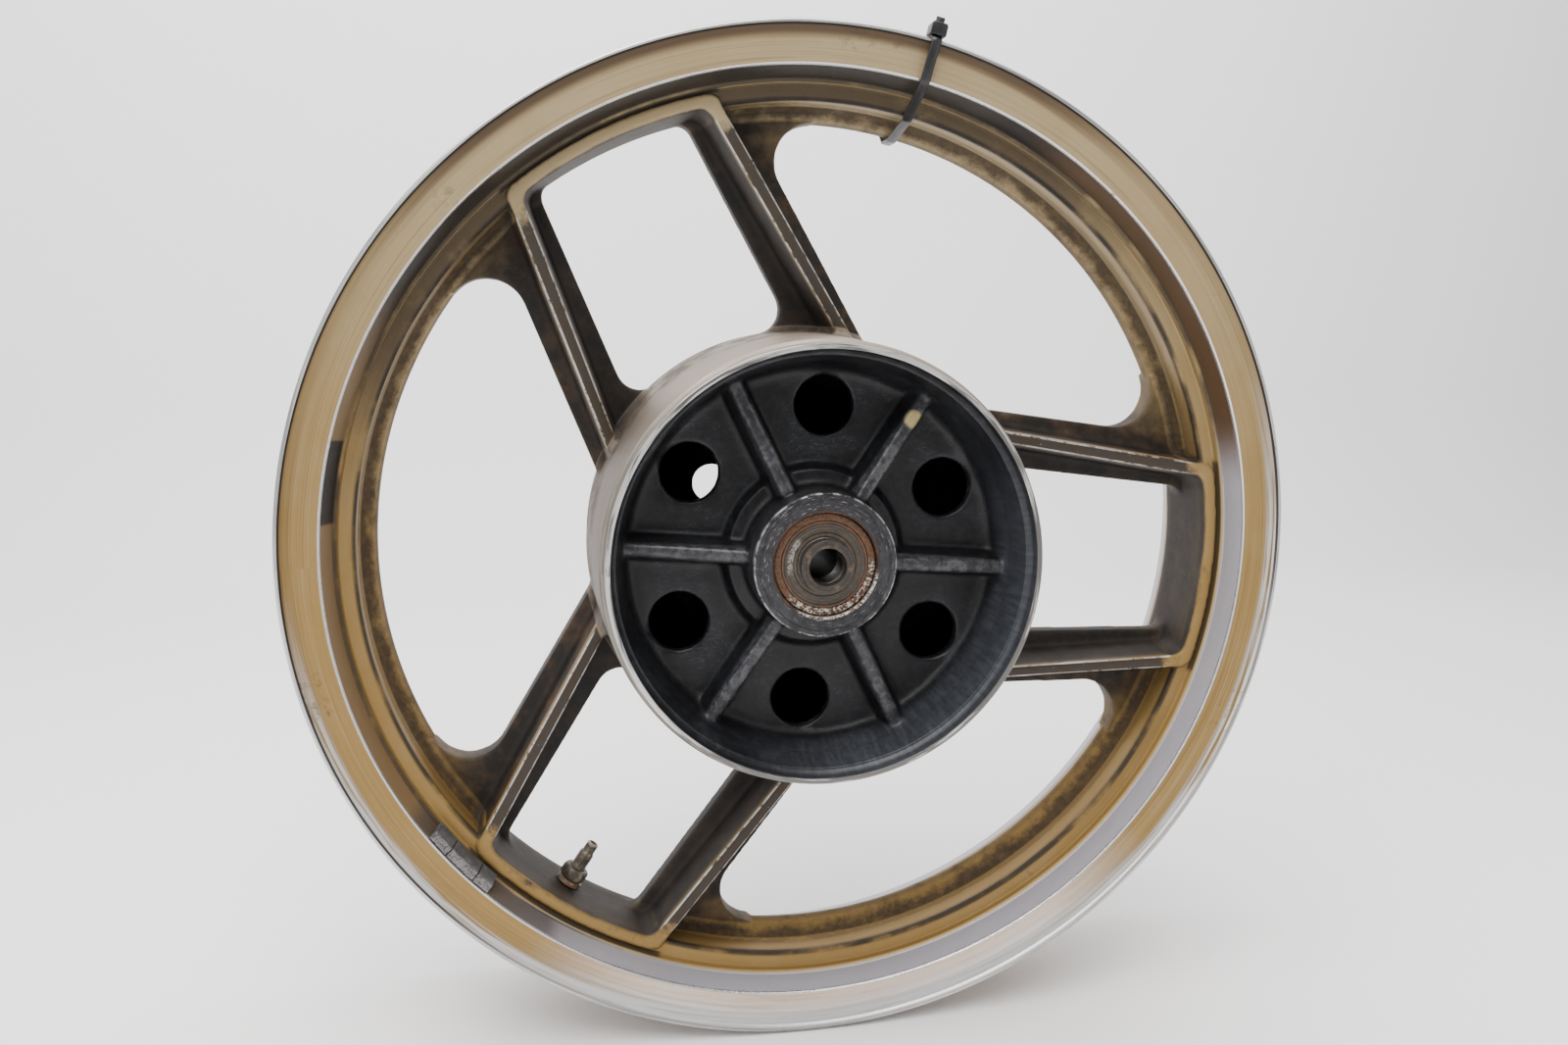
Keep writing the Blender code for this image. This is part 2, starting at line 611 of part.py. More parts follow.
def build_valve(brass, steel, rubber):
    tip = VALVE_TIP_R
    seat = WELL_R + 0.0006
    stem = [(VALVE_BORE_R, tip), (0.0026, tip), (0.0030, tip + 0.0005), (0.0030, tip + 0.0052),
            (VALVE_STEM_R, tip + 0.0062), (VALVE_STEM_R, seat + 0.0020), (VALVE_BASE_R, seat + 0.0020),
            (VALVE_BASE_R, seat + 0.0034), (VALVE_BORE_R, seat + 0.0040)]
    radial_ring("valve_stem", stem, 16, brass)
    grommet = [(VALVE_STEM_R + GAP, seat), (VALVE_BASE_R, seat), (VALVE_BASE_R + 0.0004, seat + 0.0008),
               (VALVE_BASE_R, seat + 0.0017), (VALVE_STEM_R + GAP, seat + 0.0017)]
    radial_ring("valve_grommet", grommet, 16, rubber)
    washer_top = WINDOW_RIM_R - 0.0006
    washer = [(VALVE_STEM_R + GAP, washer_top - 0.0024), (0.0062, washer_top - 0.0024),
              (0.0067, washer_top - 0.0018), (0.0067, washer_top), (VALVE_STEM_R + GAP, washer_top)]
    radial_ring("valve_washer", washer, 16, steel)
    nut_top = washer_top - 0.0027
    hexagon = 0.0120 / sqrt(3)
    angle = valve_frame()
    bm = bmesh.new()
    loft_into(bm, [[place(r, v, VALVE_Y + y, angle) for v, y in circle(hexagon, 6)]
                   for r in (nut_top - 0.0062, nut_top)])
    nut = add_object("valve_nut", bm, brass)
    bm = bmesh.new()
    loft_into(bm, [[place(r, v, VALVE_Y + y, angle) for v, y in circle(VALVE_STEM_R + GAP, 16)]
                   for r in (nut_top - 0.0072, nut_top + 0.0010)])
    boolean(nut, add_object("tool_nut_bore", bm), "DIFFERENCE")
    bm = bmesh.new()
    stations = [(tip + 0.0008, 0.0006), (tip + 0.0030, 0.0006), (tip + 0.0032, VALVE_BORE_R - GAP),
                (tip + 0.0078, VALVE_BORE_R - GAP), (tip + 0.0084, 0.0012), (tip + 0.0120, 0.0012),
                (tip + 0.0124, 0.0006)]
    loft_into(bm, [[place(r, v, VALVE_Y + y, angle) for v, y in circle(rho, 10)] for r, rho in stations])
    add_object("valve_core", bm, brass)


# ---------------------------------------------------------------- balance weights and cable tie
def build_weights(lead):
    """Three clamp-on lead weights, bent to the step between the flange edge and the ledge."""
    section = [(0.2226, -0.0427), (0.2188, -0.0415), (0.2160, -0.0345), (0.2166, -0.0331),
               (0.2189, -0.0331)]
    start = pair_angles()[VALVE_PAIR] + WEIGHT_START
    for index, span in enumerate(WEIGHT_SPANS):
        end = start - span
        bm = bmesh.new()
        steps = 3
        loft_into(bm, [[place(r, 0.0, y, start + (end - start) * i / steps) for r, y in section]
                       for i in range(steps + 1)])
        add_object(f"balance_weight_{index + 1}", bm, lead)
        start = end - WEIGHT_SPACE


def tie_path():
    """Inner line of the strap round the rim section, as (radius, depth)."""
    flange = [(FLANGE_TIP_R + 0.0006, -0.0440), (FLANGE_TIP_R - 0.0012, -RIM_HALF_WIDTH - 0.0006),
              (RIM_EDGE_R - 0.0004, -FACE_Y - 0.0008)]
    front = [(BAND_IN_R - 0.0001, -BAND_Y - 0.0008), (BAND_IN_R - 0.0010, -BAND_Y + 0.0006)]
    ridge = [(RIDGE_R - 0.0006, -0.0050), (RIDGE_R - 0.0006, 0.0050)]
    return flange + front + ridge + [(r, -y) for r, y in reversed(flange)]


def build_tie(nylon):
    path = tie_path()
    count = len(path)
    outer = []
    for i in range(count):
        before, here, after = (Vector(path[(i + k) % count]) for k in (-1, 0, 1))
        n0 = (here - before).normalized().orthogonal()
        n1 = (after - here).normalized().orthogonal()
        mid = (n0 + n1).normalized()
        outer.append(here + mid * TIE_T / max(mid.dot(n1), 0.4))
    bm = bmesh.new()
    rings = []
    half = TIE_WIDTH / 2
    for (r0, y0), (r1, y1) in zip(path, outer):
        rings.append([bm.verts.new(place(r, v, y, TIE_ANGLE))
                      for r, v, y in ((r0, -half, y0), (r0, half, y0), (r1, half, y1), (r1, -half, y1))])
    for i in range(count):
        here, there = rings[i], rings[(i + 1) % count]
        for j in range(4):
            k = (j + 1) % 4
            bm.faces.new((here[j], there[j], there[k], here[k]))
    tie = add_object("cable_tie", bm, nylon)
    bm = bmesh.new()
    w = TIE_HEAD_W / 2
    (y0, y1), (r0, r1) = TIE_HEAD_Y, TIE_HEAD_R
    loft_into(bm, [[place(r, v * k, y, TIE_ANGLE) for v, y in ((-w, y0), (w, y0), (w, y1), (-w, y1))]
                   for r, k in ((r0, 1.0), (r1 - 0.0008, 1.0), (r1, 0.86))])
    boolean(tie, add_object("tool_tie_head", bm), "UNION")
    bm = bmesh.new()
    t0 = y0 + 0.0020
    loft_into(bm, [[place(r, v, y, TIE_ANGLE) for v, y in ((-half, t0), (half, t0), (half, t0 + TIE_T),
                                                           (-half, t0 + TIE_T))]
                   for r in (r1 - 0.0020, TIE_TAIL_END_R)])
    boolean(tie, add_object("tool_tie_tail", bm), "UNION")


def main():
    clear_scene()
    gold = material("gold_paint", (0.42, 0.33, 0.20), 0.45, 0.3)
    steel = material("bearing_steel", (0.45, 0.44, 0.42), 0.35, 1.0)
    rubber = material("seal_rubber", (0.03, 0.028, 0.025), 0.7, 0.0)
    cage = material("cage_steel", (0.5, 0.48, 0.45), 0.4, 1.0)
    brass = material("valve_metal", (0.30, 0.27, 0.23), 0.45, 1.0)
    lead = material("lead", (0.16, 0.16, 0.17), 0.5, 0.9)
    nylon = material("black_nylon", (0.012, 0.012, 0.014), 0.4, 0.0)
    build_casting(gold)
    build_axle_parts(steel, rubber, cage)
    build_valve(brass, steel, rubber)
    build_weights(lead)
    build_tie(nylon)


main()
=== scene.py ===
"""Looks of a worn gold cast motorcycle wheel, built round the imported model."""

from math import atan2, cos, pi, radians, sin, sqrt

import bmesh
import bpy
import numpy as np
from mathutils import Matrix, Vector, kdtree


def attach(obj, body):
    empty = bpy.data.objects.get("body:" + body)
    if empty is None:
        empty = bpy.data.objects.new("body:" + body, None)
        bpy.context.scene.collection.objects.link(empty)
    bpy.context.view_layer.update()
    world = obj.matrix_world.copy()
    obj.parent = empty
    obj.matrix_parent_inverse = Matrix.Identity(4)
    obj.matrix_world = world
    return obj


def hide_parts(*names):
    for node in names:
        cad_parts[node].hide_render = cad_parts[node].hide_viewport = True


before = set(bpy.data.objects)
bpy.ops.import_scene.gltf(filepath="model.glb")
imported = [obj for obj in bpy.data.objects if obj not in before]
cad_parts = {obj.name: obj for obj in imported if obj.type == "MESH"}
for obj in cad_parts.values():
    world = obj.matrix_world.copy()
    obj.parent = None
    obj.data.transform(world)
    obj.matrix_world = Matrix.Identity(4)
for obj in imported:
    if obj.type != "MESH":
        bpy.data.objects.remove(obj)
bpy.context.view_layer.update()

# ---------------------------------------------------------------- sizes shared with the model (metres)
BEAD_SEAT_R = 0.2286
FLANGE_TIP_R = 0.2426
BEAD_SEAT_Y = 0.0381
RIM_HALF_WIDTH = 0.0480
WELL_R = 0.2175
FACE_Y = 0.0438
RIM_EDGE_R = 0.2236
LEDGE_R = 0.2188
LEDGE_Y = 0.0315
BAND_Y = 0.0280
BAND_IN_R = 0.2098
CHANNEL_R = 0.2112
RIDGE_R = 0.2030
BACK_SLOPE_R = 0.2135

PAIR_ANGLES = [radians(a) for a in (-4.5, 115.5, 235.5)]
REF_U = 0.200
RIB_FACE_Y = 0.0300
RIB_BACK_Y = 0.0135
RIB_OUT_V, RIB_OUT_SLOPE = 0.0536, 0.090
RIB_IN_V, RIB_IN_SLOPE = 0.0474, 0.096
RIB_ARC_OUT_R = 0.2165
RIB_ARC_IN_R = 0.2103
RIB_CORNER_R = 0.0062
RIB_DRAFT = 0.0022
WEB_V, WEB_SLOPE = 0.0660, 0.064
WEB_HALF_T = 0.0070
WEB_RIM_FILLET = 0.0188
WEB_HUB_FILLET = 0.0090
WEB_BURIED_R = 0.2140
HUB_BURIED_R = 0.1000
LIP_V, LIP_SLOPE = 0.0390, 0.050
LIP_HALF_T = 0.0050
LIP_HUB_FILLET = 0.0120
LIP_RIM_FILLET = 0.0080
WINDOW_RIM_R = 0.2098
POCKET_DRAFT = 0.0026

DRUM_FRONT_Y = -0.0870
DRUM_FRONT_R = 0.0992
DRUM_LIP_R = 0.0968
DRUM_LIP_DEPTH = 0.0065
DRUM_MOUTH_R = 0.0942
DRUM_FLOOR_R = 0.0890
FLOOR_Y = -0.0460
FLOOR_T = 0.0060
BARREL_R = 0.1045
BARREL_BACK_Y = 0.0340
BOSS_R = 0.0330
BOSS_FRONT_Y = -0.0780
BOSS_BACK_Y = 0.0600
PLATFORM_R = 0.0410
PLATFORM_Y = -0.0520
TUBE_BORE_R = 0.0175
DISC_RING_OUT_R = 0.0720
DISC_RING_IN_R = 0.0610
DISC_SEAT_Y = 0.0560
BACK_WALL_Y = 0.0120
BACK_WALL_T = 0.0070
RIB_COUNT = 6
RIB_STEP = 2 * pi / RIB_COUNT
RIB_BASE_W = 0.0065
RIB_TOP_W = 0.0026
RIB_TOP_BOSS_Y = -0.0660
RIB_TOP_WALL_Y = -0.0600
CUSH_HOLE_PITCH_R = 0.0704
CUSH_HOLE_R = 0.0139
BACK_HOLE_COUNT = 3
BACK_HOLE_PITCH_R = 0.0502
BACK_HOLE_R = 0.0096
DISC_BOLT_PITCH_R = 0.0665
DISC_BOLT_R = 0.0034
DISC_BOLT_DEPTH = 0.0200
DISC_BOSS_R = 0.0090

BEARING_BORE_R = 0.0085
BEARING_R = 0.0235
BEARING_W = 0.0140
OUTER_SHOULDER_R = 0.0187
SEAL_SEAT_R = 0.0202
INNER_SHOULDER_R = 0.0133
SEAL_TRACK_R = 0.0124
FRONT_BEARING_Y = -0.0685
BACK_BEARING_Y = 0.0460
COLLAR_R = 0.0123
SPACER_END_Y = -0.0830
DUST_SEAL_LIP_R = 0.0129
DUST_SEAL_T = 0.0060
GAP = 0.0003

VALVE_ANGLE = PAIR_ANGLES[2] + radians(0.2)
VALVE_Y = -0.0050
VALVE_HOLE_R = 0.0042
VALVE_STEM_R = 0.0038
VALVE_BORE_R = 0.0021
VALVE_TIP_R = 0.1855
VALVE_BASE_R = 0.0074

WEIGHT_START = PAIR_ANGLES[2] - radians(10.0)
WEIGHT_SPANS = [radians(a) for a in (2.3, 4.4, 2.9)]
WEIGHT_SPACE = radians(0.16)

TIE_ANGLE = radians(76.5)
TIE_WIDTH = 0.0046
TIE_T = 0.0013

# how finely the looks are meshed
VOXEL = 0.0010
CAST_FACES = 190000
LATHE_SEGMENTS = 360
SKIN = 0.00015                   # turned faces stand this far proud of the cast ones


# ---------------------------------------------------------------- mesh helpers
def new_piece(name, bm, smooth_angle=35.0):
    bmesh.ops.recalc_face_normals(bm, faces=bm.faces)
    mesh = bpy.data.meshes.new(name)
    bm.to_mesh(mesh)
    bm.free()
    mesh.shade_smooth()
    mesh.set_sharp_from_angle(angle=radians(smooth_angle))
    obj = bpy.data.objects.new(name, mesh)
    bpy.context.scene.collection.objects.link(obj)
    return obj


def settle(obj):
    """Turn an object's modifiers into its mesh."""
    graph = bpy.context.evaluated_depsgraph_get()
    mesh = bpy.data.meshes.new_from_object(obj.evaluated_get(graph), depsgraph=graph)
    obj.modifiers.clear()
    obj.data = mesh


def combine(target, tool, operation):
    mod = target.modifiers.new("combine", "BOOLEAN")
    mod.operation = operation
    mod.object = tool
    mod.solver = "MANIFOLD"
    settle(target)
    bpy.data.objects.remove(tool, do_unlink=True)


def bevel(obj, width, segments=2, angle=30.0):
    mod = obj.modifiers.new("bevel", "BEVEL")
    mod.width = width
    mod.segments = segments
    mod.limit_method = "ANGLE"
    mod.angle_limit = radians(angle)
    mod.harden_normals = False
    settle(obj)
    obj.data.shade_smooth()
    obj.data.set_sharp_from_angle(angle=radians(angle))


def place(u, v, y, angle):
    """A point given along (u) and across (v) a radial direction, at depth y."""
    return Vector((u * cos(angle) - v * sin(angle), y, u * sin(angle) + v * cos(angle)))


def arc(cx, cy, radius, start, end, steps):
    return [(cx + radius * cos(start + (end - start) * i / steps),
             cy + radius * sin(start + (end - start) * i / steps)) for i in range(steps + 1)]


def circle(radius, sides):
    return [(radius * cos(2 * pi * i / sides), radius * sin(2 * pi * i / sides)) for i in range(sides)]


def rounded(points, steps=4):
    """Closed outline whose corners (x, y, radius) are turned into arcs."""
    result = []
    count = len(points)
    for i in range(count):
        before, here, after = (Vector(points[(i + k) % count][:2]) for k in (-1, 0, 1))
        radius = points[i][2] if len(points[i]) > 2 else 0.0
        to_before, to_after = (before - here), (after - here)
        turn = pi - to_before.angle(to_after)
        if radius <= 0.0 or turn < 0.02:
            result.append(tuple(here))
            continue
        reach = min(radius * np.tan(turn / 2), 0.48 * to_before.length, 0.48 * to_after.length)
        start = here + to_before.normalized() * reach
        end = here + to_after.normalized() * reach
        for k in range(steps + 1):
            t = k / steps
            result.append(tuple(start * (1 - t) ** 2 + here * 2 * t * (1 - t) + end * t ** 2))
    return result


def revolve(name, profile, segments, centre_y=0.0, smooth_angle=35.0):
    """Turn a closed (radius, depth) outline about the axle."""
    bm = bmesh.new()
    rings = []
    for i in range(segments):
        a = 2 * pi * (i + 0.5) / segments
        rings.append([bm.verts.new((r * cos(a), centre_y + h, r * sin(a))) for r, h in profile])
    count = len(profile)
    for i in range(segments):
        here, there = rings[i], rings[(i + 1) % segments]
        for j in range(count):
            k = (j + 1) % count
            bm.faces.new((here[j], there[j], there[k], here[k]))
    return new_piece(name, bm, smooth_angle)


def loft_into(bm, loops):
    rows = [[bm.verts.new(p) for p in loop] for loop in loops]
    count = len(rows[0])
    for here, there in zip(rows, rows[1:]):
        for j in range(count):
            k = (j + 1) % count
            bm.faces.new((here[j], there[j], there[k], here[k]))
    caps = [bm.faces.new(rows[0]), bm.faces.new(list(reversed(rows[-1])))]
    for cap in caps:
        cap.normal_update()
    bmesh.ops.triangulate(bm, faces=caps)


def bars(name, centres, radius, low, high, sides):
    """Round bars parallel to the axle."""
    bm = bmesh.new()
    for cx, cz in centres:
        loft_into(bm, [[Vector((cx + x, y, cz + z)) for x, z in circle(radius, sides)]
                       for y in (low, high)])
    return new_piece(name, bm)


def bolt_circle(radius, phase, count=RIB_COUNT):
    angles = [phase + 2 * pi * i / count for i in range(count)]
    return [(radius * cos(a), radius * sin(a)) for a in angles]


# ---------------------------------------------------------------- outlines of a spoke pair
def half_width(v_ref, slope, u):
    return v_ref + slope * (REF_U - u)


def edge_on_circle(v_ref, slope, radius):
    u = radius
    for _ in range(20):
        u = sqrt(radius ** 2 - half_width(v_ref, slope, u) ** 2)
    return u, half_width(v_ref, slope, u)


def fillet_centre(v_ref, slope, fillet, centre_r, side):
    return edge_on_circle(v_ref + side * fillet * sqrt(1 + slope ** 2), slope, centre_r)


def normal_angle(slope):
    return atan2(1.0, slope)


def mirrored(half):
    return half + [(u, -v) for u, v in reversed(half)]


def arc_to_middle(radius, start_angle, steps):
    return [(radius * cos(start_angle * (1 - i / (steps + 0.5))),
             radius * sin(start_angle * (1 - i / (steps + 0.5)))) for i in range(1, steps + 1)]


def hub_end(radius, angle, steps=6):
    return [(radius * cos(angle * (i + 0.5) / (steps + 0.5)),
             radius * sin(angle * (i + 0.5) / (steps + 0.5))) for i in range(steps + 1)]


def web_outline(inset):
    v_ref, rim_r, barrel_r = WEB_V - inset, RIDGE_R + inset, BARREL_R - inset
    normal = normal_angle(WEB_SLOPE)
    hub_u, hub_v = fillet_centre(v_ref, WEB_SLOPE, WEB_HUB_FILLET, barrel_r + WEB_HUB_FILLET, 1)
    rim_u, rim_v = fillet_centre(v_ref, WEB_SLOPE, WEB_RIM_FILLET, rim_r - WEB_RIM_FILLET, 1)
    hub_angle, rim_angle = atan2(hub_v, hub_u), atan2(rim_v, rim_u)
    half = hub_end(HUB_BURIED_R, hub_angle)
    half += arc(hub_u, hub_v, WEB_HUB_FILLET, hub_angle - pi, normal - pi, 10)
    half += arc(rim_u, rim_v, WEB_RIM_FILLET, normal - pi, rim_angle, 24)
    half.append((WEB_BURIED_R * cos(rim_angle), WEB_BURIED_R * sin(rim_angle)))
    half += arc_to_middle(WEB_BURIED_R, rim_angle, 16)
    return mirrored(half)


def corner_outline(v_ref, slope, hub_r, rim_r, corner):
    start_u, start_v = edge_on_circle(v_ref, slope, hub_r)
    cu, cv = fillet_centre(v_ref, slope, corner, rim_r - corner, -1)
    arc_angle = atan2(cv, cu)
    half = hub_end(hub_r, atan2(start_v, start_u))
    half += arc(cu, cv, corner, normal_angle(slope), arc_angle, 12)
    half += arc_to_middle(rim_r, arc_angle, 16)
    return mirrored(half)


def window_outline(spread=0.0):
    v_ref, rim_r = LIP_V + spread, WINDOW_RIM_R + spread
    cu, cv = fillet_centre(v_ref, LIP_SLOPE, LIP_RIM_FILLET, rim_r - LIP_RIM_FILLET, -1)
    hu, hv = fillet_centre(v_ref, LIP_SLOPE, LIP_HUB_FILLET, BARREL_R + LIP_HUB_FILLET, -1)
    normal = normal_angle(LIP_SLOPE)
    half = hub_end(HUB_BURIED_R - 0.001, atan2(hv, hu))
    half += arc(hu, hv, LIP_HUB_FILLET, atan2(hv, hu) + pi, normal, 16)
    half += arc(cu, cv, LIP_RIM_FILLET, normal, atan2(cv, cu), 12)
    half += arc_to_middle(rim_r, atan2(cv, cu), 16)
    return mirrored(half)


def pair_solids(name, levels):
    bm = bmesh.new()
    for angle in PAIR_ANGLES:
        loft_into(bm, [[place(u, v, y, angle) for u, v in outline] for y, outline in levels])
    return new_piece(name, bm)


def pockets(name, side, spread=0.0):
    """Hollow of a pair's channel on one face; spread widens it all round."""
    mouth = corner_outline(RIB_IN_V + spread, RIB_IN_SLOPE, HUB_BURIED_R - 0.0015,
                           RIB_ARC_IN_R + spread, RIB_CORNER_R)
    bottom = corner_outline(RIB_IN_V - POCKET_DRAFT + spread, RIB_IN_SLOPE, HUB_BURIED_R - 0.0015,
                            WINDOW_RIM_R - 0.0002 + spread, RIB_CORNER_R)
    face = RIB_FACE_Y if side < 0 else RIB_BACK_Y
    levels = [(side * (face + 0.004), mouth), (side * (face - 0.001), mouth), (side * LIP_HALF_T, bottom)]
    return pair_solids(name, levels)


# ---------------------------------------------------------------- the casting
def flange_outline():
    """Dished face of a flange from its tip to the turned inner edge, as (radius, depth, corner radius)."""
    return [
        (0.2425, -0.0440, 0.0012), (0.2423, -0.0468, 0.0012), (0.2413, -0.0480, 0.0007),
        (0.2404, -0.0478, 0.0002), (0.2402, -0.0472, 0.0002), (0.2388, -0.0457, 0.0020),
        (0.2331, -FACE_Y - 0.0003, 0.0040), (RIM_EDGE_R + 0.0006, -FACE_Y, 0.0004),
        (RIM_EDGE_R - 0.0002, -FACE_Y + 0.0006, 0.0004)]


def channel_outline(inset=0.0):
    """Channel of the rim from the inner edge of the drum-side band to where its disc side falls away."""
    section = [
        (BAND_IN_R + 0.0002, -BAND_Y, 0.0016), (CHANNEL_R, -0.0125, 0.0070),
        (RIDGE_R + 0.0022, -0.0046, 0.0030), (RIDGE_R, 0.0, 0.0080), (RIDGE_R + 0.0022, 0.0046, 0.0030),
        (RIDGE_R + 0.0045, 0.0078, 0.0040), (BACK_SLOPE_R, 0.0165, 0.0060)]
    return [(r + inset, y, c) for r, y, c in section]


def turned_rim():
    """The lathe-turned rim: flanges, machined edges, bands, channel and tyre side."""
    flange = flange_outline()
    ledge = [(LEDGE_R + 0.0007, -LEDGE_Y - 0.0009, 0.0008), (LEDGE_R - 0.0011, -LEDGE_Y + 0.0005, 0.0008),
             (LEDGE_R - 0.0014, -BAND_Y, 0.0009)]
    tyre = [(FLANGE_TIP_R, 0.0423, 0.0016), (FLANGE_TIP_R - 0.0022, BEAD_SEAT_Y + 0.0016, 0.0015),
            (BEAD_SEAT_R + 0.0010, BEAD_SEAT_Y, 0.0040), (BEAD_SEAT_R - 0.0010, 0.0215, 0.0010),
            (BEAD_SEAT_R - 0.0014, 0.0190, 0.0012), (WELL_R, 0.0125, 0.0050)]
    profile = flange + ledge + channel_outline() + [(LEDGE_R - 0.0003, BAND_Y, 0.0040)]
    profile += [(r, -y, c) for r, y, c in reversed(flange)]
    profile += tyre + [(r, -y, c) for r, y, c in reversed(tyre)]
    rim = revolve("turned_rim", rounded(profile, 5), LATHE_SEGMENTS)
    spread = 0.0008
    combine(rim, pockets("cut", -1, spread), "DIFFERENCE")
    combine(rim, pockets("cut", 1, spread), "DIFFERENCE")
    window = window_outline(spread)
    combine(rim, pair_solids("cut", [(-0.012, window), (0.012, window)]), "DIFFERENCE")
    bm = bmesh.new()
    loft_into(bm, [[place(r, v, VALVE_Y + y, VALVE_ANGLE) for v, y in circle(VALVE_HOLE_R, 40)]
                   for r in (WINDOW_RIM_R - 0.004, WELL_R + 0.004)])
    combine(rim, new_piece("cut", bm), "DIFFERENCE")
    rim.data.shade_smooth()
    rim.data.set_sharp_from_angle(angle=radians(32))
    return rim


def drum_ribs():
    bm = bmesh.new()
    for k in range(RIB_COUNT):
        angle = PAIR_ANGLES[0] + RIB_STEP * k
        ends = []
        for r, top in ((BOSS_R - 0.0030, RIB_TOP_BOSS_Y), (DRUM_MOUTH_R + 0.0010, RIB_TOP_WALL_Y)):
            base = FLOOR_Y + FLOOR_T / 2
            half = [(-RIB_BASE_W, base), (-RIB_TOP_W - 0.0006, top + 0.0010), (-RIB_TOP_W + 0.0006, top)]
            outline = half + [(-v, y) for v, y in reversed(half)]
            ends.append([place(r, v, y, angle) for v, y in outline])
        loft_into(bm, ends)
    return new_piece("ribs", bm)


def hub_outline():
    """Closed (radius, depth) section of the cast hub."""
    bearing_front = FRONT_BEARING_Y + BEARING_W / 2 + GAP
    bearing_back = BACK_BEARING_Y - BEARING_W / 2 - GAP
    pocket_r = BEARING_R + 0.0008
    return [
        (DRUM_FRONT_R - 0.0014, DRUM_FRONT_Y + 0.0010), (DRUM_FRONT_R - 0.0005, DRUM_FRONT_Y + 0.0056),
        (BARREL_R - 0.0035, DRUM_FRONT_Y + 0.0072), (BARREL_R, 0.0),
        (BARREL_R - 0.0010, BARREL_BACK_Y - 0.0060), (BARREL_R - 0.0055, BARREL_BACK_Y),
        (DISC_RING_OUT_R + 0.0050, BARREL_BACK_Y + 0.0050), (DISC_RING_OUT_R, BARREL_BACK_Y + 0.0090),
        (DISC_RING_OUT_R - 0.0006, DISC_SEAT_Y - 0.0002), (DISC_RING_IN_R + 0.0006, DISC_SEAT_Y - 0.0002),
        (DISC_RING_IN_R - 0.0010, BACK_WALL_Y), (BOSS_R + 0.0030, BACK_WALL_Y),
        (BOSS_R, BACK_WALL_Y + 0.0040),
        (BOSS_R - 0.0010, BOSS_BACK_Y - 0.0003), (pocket_r, BOSS_BACK_Y - 0.0003), (pocket_r, bearing_back),
        (TUBE_BORE_R, bearing_back), (TUBE_BORE_R, bearing_front), (pocket_r, bearing_front),
        (pocket_r, BOSS_FRONT_Y + 0.0006), (BOSS_R - 0.0006, BOSS_FRONT_Y + 0.0006),
        (BOSS_R, PLATFORM_Y - 0.0030), (BOSS_R + 0.0030, PLATFORM_Y), (PLATFORM_R, PLATFORM_Y),
        (PLATFORM_R + 0.0030, FLOOR_Y), (DRUM_FLOOR_R - 0.0035, FLOOR_Y), (DRUM_FLOOR_R, FLOOR_Y - 0.0030),
        (DRUM_MOUTH_R, DRUM_FRONT_Y + DRUM_LIP_DEPTH + 0.0010),
        (DRUM_LIP_R + 0.0004, DRUM_FRONT_Y + 0.0060),
        (DRUM_LIP_R + 0.0004, DRUM_FRONT_Y + 0.0010)]


def cavity_outline():
    wall_y = BACK_WALL_Y - BACK_WALL_T
    return [
        (BOSS_R + 0.0035, FLOOR_Y + FLOOR_T), (BARREL_R - 0.0090, FLOOR_Y + FLOOR_T),
        (BARREL_R - 0.0065, FLOOR_Y + FLOOR_T + 0.0040), (BARREL_R - 0.0070, BARREL_BACK_Y - 0.0130),
        (BARREL_R - 0.0110, BARREL_BACK_Y - 0.0070), (DISC_RING_OUT_R + 0.0060, BARREL_BACK_Y - 0.0030),
        (DISC_RING_IN_R + 0.0050, wall_y), (BOSS_R + 0.0035, wall_y)]


